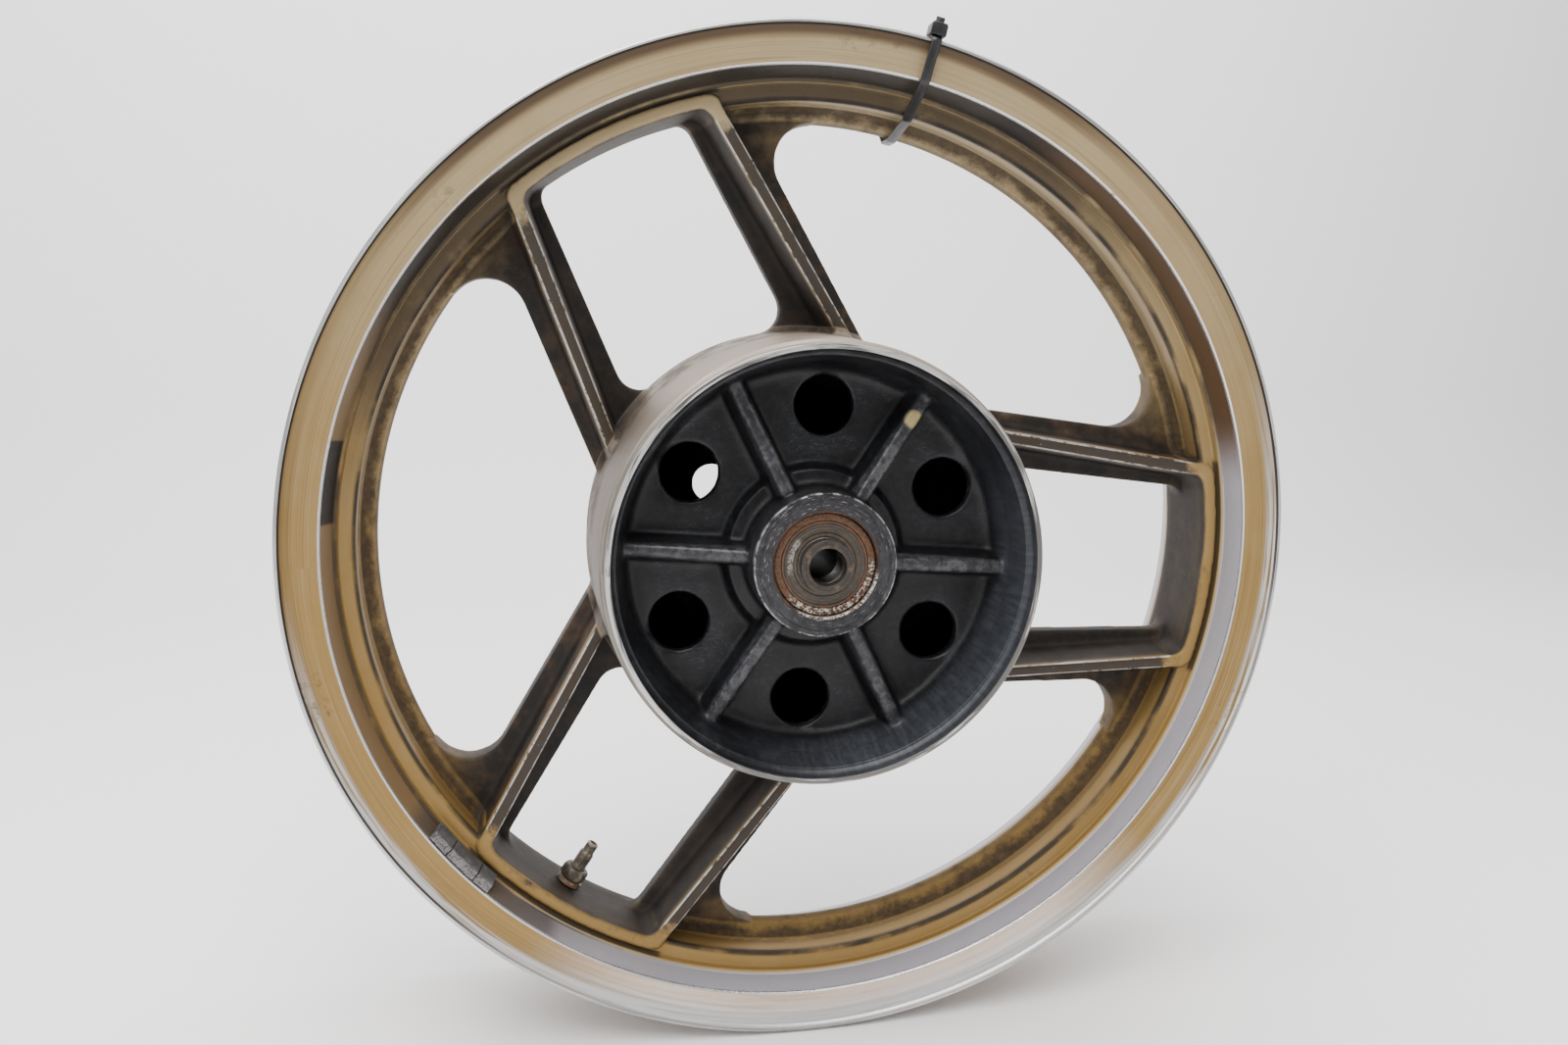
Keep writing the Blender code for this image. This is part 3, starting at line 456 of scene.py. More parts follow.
def cast_body():
    """Spokes, webs, hub, drum ribs and the skin of the rim that they run into, as rough cast metal."""
    outer_r = CHANNEL_R + 0.0050
    profile = [(r, y * 0.985, c) for r, y, c in channel_outline(SKIN)]
    profile += [(outer_r, profile[-1][1], 0.0), (outer_r, profile[0][1], 0.0)]
    body = revolve("cast_body", rounded(profile, 5), LATHE_SEGMENTS)

    web = web_outline(0.0006)
    combine(body, pair_solids("webs", [(-WEB_HALF_T, web), (WEB_HALF_T, web)]), "UNION")
    top = corner_outline(RIB_OUT_V, RIB_OUT_SLOPE, HUB_BURIED_R, RIB_ARC_OUT_R, RIB_CORNER_R)
    root = corner_outline(RIB_OUT_V + RIB_DRAFT, RIB_OUT_SLOPE, HUB_BURIED_R, RIB_ARC_OUT_R, RIB_CORNER_R)
    combine(body, pair_solids("ribs", [(-RIB_FACE_Y, top), (-WEB_HALF_T + 0.001, root),
                                       (WEB_HALF_T - 0.001, root), (RIB_BACK_Y, top)]), "UNION")
    combine(body, pockets("cut", -1), "DIFFERENCE")
    combine(body, pockets("cut", 1), "DIFFERENCE")
    window = window_outline()
    combine(body, pair_solids("cut", [(-0.012, window), (0.012, window)]), "DIFFERENCE")

    combine(body, revolve("hub", hub_outline(), LATHE_SEGMENTS), "UNION")
    combine(body, drum_ribs(), "UNION")
    combine(body, revolve("cut", cavity_outline(), LATHE_SEGMENTS), "DIFFERENCE")
    between = PAIR_ANGLES[0] + RIB_STEP / 2
    combine(body, bars("cut", bolt_circle(CUSH_HOLE_PITCH_R, between), CUSH_HOLE_R, FLOOR_Y - 0.010,
                       FLOOR_Y + FLOOR_T + 0.004, 64), "DIFFERENCE")
    combine(body, bars("cut", bolt_circle(BACK_HOLE_PITCH_R, between, BACK_HOLE_COUNT), BACK_HOLE_R,
                       BACK_WALL_Y - BACK_WALL_T - 0.004, BACK_WALL_Y + 0.004, 48), "DIFFERENCE")
    bolts = bolt_circle(DISC_BOLT_PITCH_R, PAIR_ANGLES[0])
    combine(body, bars("pads", bolts, DISC_BOSS_R, BARREL_BACK_Y - 0.002, DISC_SEAT_Y, 48), "UNION")
    combine(body, bars("cut", bolts, DISC_BOLT_R + 0.0004, DISC_SEAT_Y - DISC_BOLT_DEPTH,
                       DISC_SEAT_Y + 0.004, 32), "DIFFERENCE")
    bm = bmesh.new()
    loft_into(bm, [[place(r, v, VALVE_Y + y, VALVE_ANGLE) for v, y in circle(VALVE_HOLE_R, 40)]
                   for r in (WINDOW_RIM_R - 0.004, WELL_R + 0.004)])
    combine(body, new_piece("cut", bm), "DIFFERENCE")

    mod = body.modifiers.new("voxels", "REMESH")
    mod.mode = "VOXEL"
    mod.voxel_size = VOXEL
    settle(body)
    body.data.shade_smooth()
    soften_casting(body.data)
    measure_wear_and_shade(body)
    return body


def read_points(mesh):
    values = np.empty(len(mesh.vertices) * 3, np.float32)
    mesh.vertices.foreach_get("co", values)
    return values.reshape(-1, 3).astype(np.float64)


def read_normals(mesh):
    values = np.empty(len(mesh.vertices) * 3, np.float32)
    mesh.vertex_normals.foreach_get("vector", values)
    return values.reshape(-1, 3).astype(np.float64)


def read_edges(mesh):
    values = np.empty(len(mesh.edges) * 2, np.int32)
    mesh.edges.foreach_get("vertices", values)
    return values.reshape(-1, 2)


def neighbour_mean(points, edges):
    """Mean of each point's neighbours."""
    count = len(points)
    a, b = edges[:, 0], edges[:, 1]
    degree = np.bincount(edges.ravel(), minlength=count)
    total = [np.bincount(a, points[b, k], count) + np.bincount(b, points[a, k], count) for k in range(3)]
    return np.stack(total, 1) / np.maximum(degree, 1)[:, None]


def write_points(mesh, points):
    mesh.vertices.foreach_set("co", points.astype(np.float32).ravel())
    mesh.update()


def soften_casting(mesh, rounds=12, convex=0.35):
    """Round the casting: inside corners fill up like foundry fillets, outside edges soften less."""
    edges = read_edges(mesh)
    points = read_points(mesh)
    for _ in range(rounds):
        normals = read_normals(mesh)
        move = neighbour_mean(points, edges) - points
        lift = (move * normals).sum(1)
        across = move - normals * lift[:, None]
        gain = np.where(lift > 0, 0.9, convex)
        points = points + 0.5 * across + normals * (0.6 * gain * lift)[:, None]
        write_points(mesh, points)


def measure_wear_and_shade(obj):
    """Store how far each point stands out on an edge ("edge") or lies in a hollow ("hollow"); the finish
    uses "hollow" to darken hollows as grime and painted shade.
    """
    mesh = obj.data
    edges = read_edges(mesh)
    points, normals = read_points(mesh), read_normals(mesh)
    smooth = points
    layers = []
    for rounds in (4, 30):
        for _ in range(rounds):
            smooth = smooth + 0.7 * (neighbour_mean(smooth, edges) - smooth)
        layers.append(((smooth - points) * normals).sum(1))
    near, wide = layers
    tree = None
    values = {"edge": np.clip(-near / 0.00035, 0, 1), "hollow": np.clip(wide / 0.0016, 0, 1)}
    if len(mesh.polygons) * 2 > CAST_FACES:
        tree = kdtree.KDTree(len(points))
        for i, p in enumerate(points):
            tree.insert(p, i)
        tree.balance()
        mod = obj.modifiers.new("thin", "DECIMATE")
        mod.ratio = CAST_FACES / (len(mesh.polygons) * 2)
        settle(obj)
        mesh = obj.data
        mesh.shade_smooth()
        nearest = [tree.find(v.co)[1] for v in mesh.vertices]
        values = {name: field[nearest] for name, field in values.items()}
    for name, field in values.items():
        layer = mesh.attributes.new(name, "FLOAT", "POINT")
        layer.data.foreach_set("value", field.astype(np.float32))


def turned_hub():
    """Turned and smooth faces of the hub: mouth, barrel, disc shoulder, disc pads and their holes."""
    wall = (DRUM_MOUTH_R - DRUM_FLOOR_R) / (DRUM_FRONT_Y + DRUM_LIP_DEPTH + 0.0010 - FLOOR_Y + 0.0030)
    inner_y = -0.0640
    inner_r = DRUM_FLOOR_R + wall * (inner_y - FLOOR_Y + 0.0030) - SKIN
    lip_y = DRUM_FRONT_Y + DRUM_LIP_DEPTH
    profile = [
        (DRUM_FRONT_R, DRUM_FRONT_Y, 0.0004), (DRUM_FRONT_R + 0.0002, DRUM_FRONT_Y + 0.0052, 0.0006),
        (BARREL_R - 0.0032, DRUM_FRONT_Y + 0.0068, 0.0008), (BARREL_R + SKIN, 0.0, 0.0),
        (BARREL_R - 0.0008, BARREL_BACK_Y - 0.0060, 0.0060),
        (BARREL_R - 0.0052, BARREL_BACK_Y + 0.0002, 0.0020),
        (DISC_RING_OUT_R + 0.0050, BARREL_BACK_Y + 0.0053, 0.0030),
        (DISC_RING_OUT_R + SKIN, BARREL_BACK_Y + 0.0092, 0.0020),
        (DISC_RING_OUT_R - 0.0006, DISC_SEAT_Y, 0.0006), (DISC_RING_IN_R + 0.0006, DISC_SEAT_Y, 0.0006),
        (DISC_RING_IN_R - 0.0008, BACK_WALL_Y + 0.0080, 0.0),
        (DISC_RING_IN_R + 0.0030, BACK_WALL_Y + 0.0040, 0.0),
        (DISC_RING_OUT_R - 0.0040, BACK_WALL_Y + 0.0200, 0.0),
        (BARREL_R - 0.0090, BARREL_BACK_Y - 0.0030, 0.0),
        (BARREL_R - 0.0030, 0.0, 0.0), (inner_r + 0.0040, inner_y + 0.0040, 0.0),
        (inner_r + 0.0006, inner_y + 0.0030, 0.0), (inner_r, inner_y, 0.0),
        (DRUM_MOUTH_R - SKIN, lip_y + 0.0010, 0.0005), (DRUM_LIP_R, lip_y, 0.0004),
        (DRUM_LIP_R, DRUM_FRONT_Y, 0.0004)]
    hub = revolve("turned_hub", rounded(profile, 4), LATHE_SEGMENTS)
    bolts = bolt_circle(DISC_BOLT_PITCH_R, PAIR_ANGLES[0])
    combine(hub, bars("pads", bolts, DISC_BOSS_R, BARREL_BACK_Y + 0.012, DISC_SEAT_Y + 0.0004, 48), "UNION")
    combine(hub, bars("cut", bolts, DISC_BOLT_R, DISC_SEAT_Y - DISC_BOLT_DEPTH, DISC_SEAT_Y + 0.004, 40),
            "DIFFERENCE")
    hub.data.shade_smooth()
    hub.data.set_sharp_from_angle(angle=radians(30))
    return hub


def turned_bosses():
    """Faced ends of the bearing tube, with the shallow ring cut in the drum-side face."""
    pocket = BEARING_R + GAP
    groove_r, groove_d = 0.0299, 0.00035
    front, back = BOSS_FRONT_Y, BOSS_BACK_Y
    drum_side = [
        (BOSS_R, front, 0.0007), (BOSS_R + 0.0004, front + 0.0180, 0.0),
        (BOSS_R - 0.0020, front + 0.0200, 0.0),
        (pocket + 0.0012, front + 0.0160, 0.0), (pocket, front + 0.0140, 0.0), (pocket, front, 0.0006),
        (groove_r - 0.0005, front, 0.0), (groove_r - 0.0003, front + groove_d, 0.0002),
        (groove_r + 0.0003, front + groove_d, 0.0002), (groove_r + 0.0005, front, 0.0)]
    disc_side = [
        (BOSS_R - 0.0009, back, 0.0009), (pocket, back, 0.0006), (pocket, back - 0.0200, 0.0),
        (pocket + 0.0012, back - 0.0220, 0.0), (BOSS_R - 0.0020, back - 0.0240, 0.0),
        (BOSS_R - 0.0004, back - 0.0200, 0.0)]
    return [revolve("drum_side_boss_face", rounded(drum_side), 192),
            revolve("disc_side_boss_face", rounded(disc_side), 192)]


# ---------------------------------------------------------------- bearings, spacers and seals
def bearing_rings(prefix, centre_y):
    half = BEARING_W / 2
    seat = half - 0.0016
    track, floor_r = 0.0160, 0.00470
    outer = [(BEARING_R, -half, 0.0007), (BEARING_R, half, 0.0007), (SEAL_SEAT_R, half, 0.0003),
             (SEAL_SEAT_R - 0.0001, seat, 0.0001), (OUTER_SHOULDER_R, seat, 0.0),
             (OUTER_SHOULDER_R, 0.0035, 0.0), (track + floor_r, 0.0, 0.0060),
             (OUTER_SHOULDER_R, -0.0035, 0.0), (OUTER_SHOULDER_R, -seat, 0.0),
             (SEAL_SEAT_R - 0.0001, -seat, 0.0001), (SEAL_SEAT_R, -half, 0.0003)]
    inner = [(BEARING_BORE_R, -half, 0.0006), (SEAL_TRACK_R, -half, 0.0003),
             (SEAL_TRACK_R, -seat, 0.0001), (INNER_SHOULDER_R, -seat, 0.0),
             (INNER_SHOULDER_R, -0.0035, 0.0), (track - floor_r, 0.0, 0.0060),
             (INNER_SHOULDER_R, 0.0035, 0.0), (INNER_SHOULDER_R, seat, 0.0),
             (SEAL_TRACK_R, seat, 0.0001), (SEAL_TRACK_R, half, 0.0003), (BEARING_BORE_R, half, 0.0006)]
    pieces = []
    for part, outline in (("outer_race", outer), ("inner_race", inner)):
        piece = revolve(f"{prefix}_{part}_ring", rounded(outline, 5), 160, centre_y)
        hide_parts(f"{prefix}_{part}")
        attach(piece, "wheel" if part == "outer_race" else "axle_core")
        pieces.append(piece)
    return pieces


def bearing_seal(prefix, side, centre_y):
    """Ribbed rubber shield with a raised rim and a soft lip, facing away from the balls."""
    inner, outer = SEAL_TRACK_R + GAP, SEAL_SEAT_R - GAP
    low = BEARING_W / 2 - 0.0011
    top = low + 0.0010
    face = low + 0.00055
    outline = [(inner, low, 0.0), (outer, low, 0.0), (outer, top, 0.0003), (outer - 0.0010, top, 0.0003),
               (outer - 0.0014, face, 0.0003), (inner + 0.0042, face, 0.0003),
               (inner + 0.0038, face + 0.0002, 0.0001),
               (inner + 0.0020, face + 0.0002, 0.0001), (inner + 0.0017, face - 0.0001, 0.0002),
               (inner + 0.0006, top - 0.0003, 0.0003), (inner, top - 0.0003, 0.0002)]
    outline = [(r, side * h, c) for r, h, c in outline]
    label = "drum_side" if side < 0 else "disc_side"
    piece = revolve(f"{prefix}_shield_{label}", rounded(outline), 160, centre_y)
    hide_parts(f"{prefix}_seal_{label}")
    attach(piece, "wheel")
    return piece


def axle_sleeves():
    """Distance collar between the inner races, the drum-side spacer and the disc-side dust seal."""
    spacer_high = FRONT_BEARING_Y - BEARING_W / 2 - GAP
    collar_low = FRONT_BEARING_Y + BEARING_W / 2 + GAP
    collar_high = BACK_BEARING_Y - BEARING_W / 2 - GAP
    pieces = []
    for node, low, high in (("drum_side_spacer", SPACER_END_Y, spacer_high),
                            ("distance_collar", collar_low, collar_high)):
        outline = [(BEARING_BORE_R, low, 0.0006), (COLLAR_R, low, 0.0006), (COLLAR_R, high, 0.0006),
                   (BEARING_BORE_R, high, 0.0006)]
        piece = revolve(node + "_sleeve", rounded(outline), 128)
        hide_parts(node)
        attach(piece, "axle_core")
        pieces.append(piece)
    low = BACK_BEARING_Y + BEARING_W / 2 + GAP
    high = low + DUST_SEAL_T
    lip = DUST_SEAL_LIP_R
    outline = [(lip + 0.0022, low, 0.0002), (BEARING_R, low, 0.0004), (BEARING_R, high, 0.0006),
               (BEARING_R - 0.0030, high, 0.0008), (BEARING_R - 0.0038, low + 0.0022, 0.0010),
               (lip + 0.0032, low + 0.0022, 0.0010), (lip + 0.0004, high - 0.0009, 0.0003),
               (lip, high - 0.0022, 0.0003)]
    seal = revolve("dust_seal_ring", rounded(outline), 160)
    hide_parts("disc_side_dust_seal")
    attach(seal, "wheel")
    return pieces, seal


# ---------------------------------------------------------------- valve
def valve_turning(name, stations, bore, sides=48, shape=None):
    """Body of revolution about the valve's own axis; stations are (distance from the axle, radius)."""
    bm = bmesh.new()
    columns = []
    for i in range(sides):
        a = 2 * pi * i / sides
        column = []
        for r, rho in stations:
            reach = shape(a, r, rho) if shape else rho
            column.append(bm.verts.new(place(r, reach * cos(a), VALVE_Y + reach * sin(a), VALVE_ANGLE)))
        for r in (stations[-1][0], stations[0][0]):
            column.append(bm.verts.new(place(r, bore * cos(a), VALVE_Y + bore * sin(a), VALVE_ANGLE)))
        columns.append(column)
    count = len(columns[0])
    for i in range(sides):
        here, there = columns[i], columns[(i + 1) % sides]
        for j in range(count):
            k = (j + 1) % count
            bm.faces.new((here[j], there[j], there[k], here[k]))
    return new_piece(name, bm, 40.0)


def build_valve():
    """Threaded stem, hexagon nut with chamfers, washer, grommet and the core inside."""
    tip = VALVE_TIP_R
    seat = WELL_R + 0.0006
    pitch, depth = 0.00079, 0.00032
    top = [(tip, 0.0024), (tip + 0.0004, 0.0029)]
    small = [(tip + 0.0006 + k * pitch / 8, 0.0031) for k in range(int(0.0046 / pitch * 8))]
    large = [(tip + 0.0062 + k * pitch / 8, VALVE_STEM_R) for k in range(int(0.0230 / pitch * 8))]
    base = [(seat + 0.0019, VALVE_STEM_R - 0.0002), (seat + 0.0020, VALVE_BASE_R - 0.0003),
            (seat + 0.0023, VALVE_BASE_R), (seat + 0.0033, VALVE_BASE_R),
            (seat + 0.0040, VALVE_BASE_R - 0.0012)]

    def thread(a, r, rho):
        if rho not in (0.0031, VALVE_STEM_R):
            return rho
        phase = (r / pitch + a / (2 * pi)) % 1.0
        return rho - depth * (1.0 - abs(2 * phase - 1)) ** 0.8

    stem = valve_turning("valve_stem_threaded", top + small + large + base, VALVE_BORE_R, 48, thread)
    washer_top = WINDOW_RIM_R - 0.0006
    nut_top = washer_top - 0.0027
    nut_low = nut_top - 0.0062
    flat = 0.0060

    def hexagon(a, _, rho):
        across = flat / cos((a % (pi / 3)) - pi / 6)
        return min(across, rho)

    corner = flat / cos(pi / 6)
    levels = [(nut_low, flat * 0.97), (nut_low + 0.0004, flat * 1.05), (nut_low + 0.0012, corner),
              (nut_top - 0.0012, corner), (nut_top - 0.0004, flat * 1.05), (nut_top, flat * 0.97)]
    nut = valve_turning("valve_nut_hexagon", levels, VALVE_STEM_R + GAP, 72, hexagon)
    washer = valve_turning(
        "valve_washer_ring",
        [(washer_top - 0.0024, 0.0062), (washer_top - 0.0022, 0.0065),
         (washer_top - 0.0002, 0.0067), (washer_top, 0.0065)], VALVE_STEM_R + GAP, 64)
    grommet = valve_turning(
        "valve_grommet_ring",
        [(seat, 0.0071), (seat + 0.0004, 0.0076), (seat + 0.0013, 0.0076), (seat + 0.0017, 0.0072)],
        VALVE_STEM_R + GAP, 64)
    pin = valve_turning(
        "valve_core_pin",
        [(tip + 0.0008, 0.0005), (tip + 0.0010, 0.0007), (tip + 0.0029, 0.0007), (tip + 0.0031, 0.0017),
         (tip + 0.0078, 0.0017), (tip + 0.0084, 0.0012), (tip + 0.0120, 0.0010)], 0.0002, 24)
    for piece, node, slot in ((stem, "valve_stem", "valve_brass"), (nut, "valve_nut", "valve_brass"),
                              (washer, "valve_washer", "washer_steel"),
                              (grommet, "valve_grommet", "seal_rubber"),
                              (pin, "valve_core", "valve_brass")):
        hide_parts(node)
        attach(piece, "wheel")
    return stem, nut, washer, grommet, pin


# ---------------------------------------------------------------- balance weights and cable tie
def build_weights():
    section = [(0.2226, -0.0427, 0.0), (0.2188, -0.0415, 0.0003), (0.2160, -0.0345, 0.0005),
               (0.2166, -0.0331, 0.0004), (0.2189, -0.0331, 0.0)]
    outline = rounded(section, 3)
    pieces = []
    start = WEIGHT_START
    for index, span in enumerate(WEIGHT_SPANS):
        bm = bmesh.new()
        steps = 10
        loft_into(bm, [[place(r, 0.0, y, start - span * i / steps) for r, y in outline]
                       for i in range(steps + 1)])
        piece = new_piece(f"lead_weight_{index + 1}", bm)
        bevel(piece, 0.00028, 2, 40.0)
        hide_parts(f"balance_weight_{index + 1}")
        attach(piece, "wheel")
        pieces.append(piece)
        start -= span + WEIGHT_SPACE
    return pieces


def build_tie():
    """Nylon strap round the rim with its ratchet head, serrations and cut tail."""
    flange = [(FLANGE_TIP_R + 0.0007, -0.0440, 0.0020),
              (FLANGE_TIP_R - 0.0011, -RIM_HALF_WIDTH - 0.0006, 0.0016),
              (RIM_EDGE_R - 0.0004, -FACE_Y - 0.0008, 0.0050)]
    front = [(BAND_IN_R - 0.0001, -BAND_Y - 0.0008, 0.0010), (BAND_IN_R - 0.0010, -BAND_Y + 0.0006, 0.0010)]
    ridge = [(RIDGE_R - 0.0006, -0.0050, 0.0040), (RIDGE_R - 0.0006, 0.0050, 0.0040)]
    outline = flange + front + ridge + [(r, -y, c) for r, y, c in reversed(flange)]
    path = [Vector(p) for p in rounded(outline, 6)]
    count = len(path)
    half = TIE_WIDTH / 2
    edge = 0.00035
    bm = bmesh.new()
    rings = []
    for i in range(count):
        n0 = (path[i] - path[i - 1]).normalized().orthogonal()
        n1 = (path[(i + 1) % count] - path[i]).normalized().orthogonal()
        normal = (n0 + n1).normalized()
        ring = []
        for v, lift in ((-half + edge, 0.0), (half - edge, 0.0), (half, edge), (half, TIE_T - edge),
                        (half - edge, TIE_T), (-half + edge, TIE_T), (-half, TIE_T - edge), (-half, edge)):
            r, y = path[i] + normal * lift
            ring.append(bm.verts.new(place(r, v, y, TIE_ANGLE)))
        rings.append(ring)
    for i in range(count):
        here, there = rings[i], rings[(i + 1) % count]
        for j in range(8):
            k = (j + 1) % 8
            bm.faces.new((here[j], there[j], there[k], here[k]))
    strap = new_piece("tie_strap", bm, 50.0)

    bm = bmesh.new()
    w, y0, y1, r0, r1 = 0.0038, -0.0495, -0.0415, 0.2435, 0.2492
    loft_into(bm, [[place(r, v * k, y, TIE_ANGLE) for v, y in ((-w, y0), (w, y0), (w, y1), (-w, y1))]
                   for r, k in ((r0, 1.0), (r1 - 0.0010, 1.0), (r1, 0.84))])
    head = new_piece("tie_head", bm)
    bm = bmesh.new()
    slot_w, slot_y, slot_t = 0.0025, y0 + 0.0018, 0.0021
    slot = ((-slot_w, slot_y), (slot_w, slot_y), (slot_w, slot_y + slot_t), (-slot_w, slot_y + slot_t))
    loft_into(bm, [[place(r, v, y, TIE_ANGLE) for v, y in slot] for r in (r1 - 0.0016, r1 + 0.002)])
    combine(head, new_piece("cut", bm), "DIFFERENCE")
    bevel(head, 0.0004, 3, 30.0)

    bm = bmesh.new()
    tail_y = y0 + 0.0022
    teeth = []
    steps = 12
    for i in range(steps + 1):
        r = r1 - 0.0020 + (0.2519 - r1 + 0.0020) * i / steps
        bite = 0.00030 if i % 2 else 0.0
        teeth.append([place(r, v, y, TIE_ANGLE) for v, y in (
            (-half + 0.0003, tail_y + bite), (half - 0.0003, tail_y + bite),
            (half - 0.0003, tail_y + TIE_T), (-half + 0.0003, tail_y + TIE_T))])
    loft_into(bm, teeth)
    tail = new_piece("tie_tail", bm)
    bevel(tail, 0.00015, 1, 60.0)
    for piece in (strap, head, tail):
        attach(piece, "wheel")
        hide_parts("cable_tie")
    return [strap, head, tail]


# ---------------------------------------------------------------- material tools
def srgb(red, green, blue):
    """Scene colour of an 8-bit display colour."""
    return tuple(((c / 255 + 0.055) / 1.055) ** 2.4 if c > 10 else c / 255 / 12.92
                 for c in (red, green, blue)) + (1.0,)


class Value:
    """A shader value; ordinary arithmetic on it adds math nodes."""

    def __init__(self, tree, socket):
        self.tree = tree
        self.socket = socket

    def math(self, operation, *others):
        node = self.tree.nodes.new("ShaderNodeMath")
        node.operation = operation
        for socket, item in zip(node.inputs, (self, *others)):
            plug(self.tree, item, socket)
        return Value(self.tree, node.outputs[0])

    def __add__(self, other):
        return self.math("ADD", other)

    def __sub__(self, other):
        return self.math("SUBTRACT", other)

    def __mul__(self, other):
        return self.math("MULTIPLY", other)

    __radd__ = __add__
    __rmul__ = __mul__

    def __rsub__(self, other):
        return self.math("MULTIPLY", -1.0) + other

    def __abs__(self):
        return self.math("ABSOLUTE")

    def clip(self):
        return self.math("MAXIMUM", 0.0).math("MINIMUM", 1.0)

    def ramp(self, low, high):
        """Smooth step from 0 at low to 1 at high; low may be the larger."""
        node = self.tree.nodes.new("ShaderNodeMapRange")
        node.interpolation_type = "SMOOTHSTEP"
        plug(self.tree, self, node.inputs["Value"])
        node.inputs["From Min"].default_value = low
        node.inputs["From Max"].default_value = high
        return Value(self.tree, node.outputs["Result"])

    def ring(self, centre, half, soft):
        """1 within half of centre, falling to 0 over soft."""
        return abs(self - centre).ramp(half + soft, half)


def plug(tree, item, socket):
    """Link a value to a socket, or set the socket to a constant."""
    if isinstance(item, Value):
        tree.links.new(item.socket, socket)
    else:
        socket.default_value = item


def blend(first, second, amount):
    """Value between first at amount 0 and second at amount 1."""
    if isinstance(first, Value):
        return first + (second - first) * amount
    return amount * (second - first) + first


class Finish:
    """A procedural material under construction, with the coordinates that its patterns use."""

    def __init__(self, name):
        self.material = bpy.data.materials.new(name)
        self.material.use_nodes = True
        self.tree = self.material.node_tree
        self.shader = self.tree.nodes["Principled BSDF"]
        coords = self.tree.nodes.new("ShaderNodeTexCoord")
        self.point = Value(self.tree, coords.outputs["Object"])
        self.x, self.y, self.z = self.split(self.point)
        self.radius = (self.x * self.x + self.z * self.z).math("SQRT")
        self.angle = self.z.math("ARCTAN2", self.x)
        self.facing = self.split(Value(self.tree, coords.outputs["Normal"]))[1]

    def split(self, vector):
        node = self.tree.nodes.new("ShaderNodeSeparateXYZ")
        self.tree.links.new(vector.socket, node.inputs[0])
        return [Value(self.tree, output) for output in node.outputs]

    def join(self, *parts):
        node = self.tree.nodes.new("ShaderNodeCombineXYZ")
        for part, socket in zip(parts, node.inputs):
            plug(self.tree, part, socket)
        return Value(self.tree, node.outputs[0])

    def noise(self, size, detail=4.0, roughness=0.55, vector=None, seed=0.0, distortion=0.0):
        """Fractal noise from 0 to 1 with blobs of about that size in metres."""
        node = self.tree.nodes.new("ShaderNodeTexNoise")
        node.noise_dimensions = "4D"
        self.tree.links.new((vector or self.point).socket, node.inputs["Vector"])
        node.inputs["W"].default_value = seed
        node.inputs["Scale"].default_value = 1.0 / size
        node.inputs["Detail"].default_value = detail
        node.inputs["Roughness"].default_value = roughness
        node.inputs["Distortion"].default_value = distortion
        return Value(self.tree, node.outputs["Fac"])

    def streaks(self, size, length, seed=0.0, detail=3.0):
        """Noise drawn out round the axle, as turning and polishing leave it."""
        around = self.angle * (0.22 / length * size)
        return self.noise(size, detail, 0.6, self.join(self.radius, self.y, around), seed)

    def layer(self, name):
        node = self.tree.nodes.new("ShaderNodeAttribute")
        node.attribute_name = name
        return Value(self.tree, node.outputs["Fac"])

    def sector(self, low, high, soft):
        """1 between two angles in degrees about the axle, falling to 0 over soft degrees."""
        middle, half = radians((low + high) / 2), radians((high - low) / 2)
        near = (self.angle - middle).math("COSINE")
        return near.ramp(cos(min(half + radians(soft), pi)), cos(half))

    def pair_position(self):
        """Distances along and across the middle line of the nearest spoke pair."""
        third = 2 * pi / 3
        turn = (self.angle - (PAIR_ANGLES[0] - third / 2)) * (1 / third)
        local = (turn - turn.math("FLOOR") - 0.5) * third
        return self.radius * local.math("COSINE"), abs(self.radius * local.math("SINE"))

    def point_distance(self, x, y, z):
        """Distance in metres from a point of the frame."""
        dx, dy, dz = self.x - x, self.y - y, self.z - z
        return (dx * dx + dy * dy + dz * dz).math("SQRT")

    def mix(self, first, second, amount):
        node = self.tree.nodes.new("ShaderNodeMix")
        node.data_type = "RGBA"
        plug(self.tree, amount, node.inputs["Factor"])
        for item, name in ((first, "A"), (second, "B")):
            plug(self.tree, item, [i for i in node.inputs if i.name == name and i.type == "RGBA"][0])
        return Value(self.tree, [o for o in node.outputs if o.type == "RGBA"][0])

    def start(self, colour, roughness, metallic):
        self.colour, self.roughness, self.metallic = colour, roughness, metallic

    def coat(self, amount, colour, roughness, metallic):
        """Lay another finish over what is there; amount is from 0 to 1."""
        self.colour = self.mix(self.colour, colour, amount)
        self.roughness = blend(self.roughness, roughness, amount)
        self.metallic = blend(self.metallic, metallic, amount)

    def done(self, height=None, depth=0.0002, **constants):
        for name, item in (("Base Color", self.colour), ("Roughness", self.roughness),
                           ("Metallic", self.metallic)):
            plug(self.tree, item, self.shader.inputs[name])
        if height:
            bump = self.tree.nodes.new("ShaderNodeBump")
            bump.inputs["Strength"].default_value = 1.0
            bump.inputs["Distance"].default_value = depth
            plug(self.tree, height, bump.inputs["Height"])
            self.tree.links.new(bump.outputs["Normal"], self.shader.inputs["Normal"])
        for name, value in constants.items():
            self.shader.inputs[name.replace("_", " ")].default_value = value
        return self.material


# ---------------------------------------------------------------- finish of the casting
GOLD = srgb(138, 111, 64)
GOLD_DARK = srgb(104, 80, 46)
GOLD_PALE = srgb(166, 150, 118)
# dark colour for grime, also laid as painted shade in grooves, corners and hollows
GRIME_AND_SHADE = srgb(26, 22, 19)
BROWN_GRIME = srgb(62, 46, 32)
DUST = srgb(128, 110, 88)
BARE = srgb(208, 207, 208)
BARE_PINK = srgb(206, 190, 178)
LILAC = srgb(172, 170, 180)
WORN_GREY = srgb(40, 38, 39)
BLACK = srgb(20, 20, 22)
BLUE_HAZE = srgb(42, 44, 50)


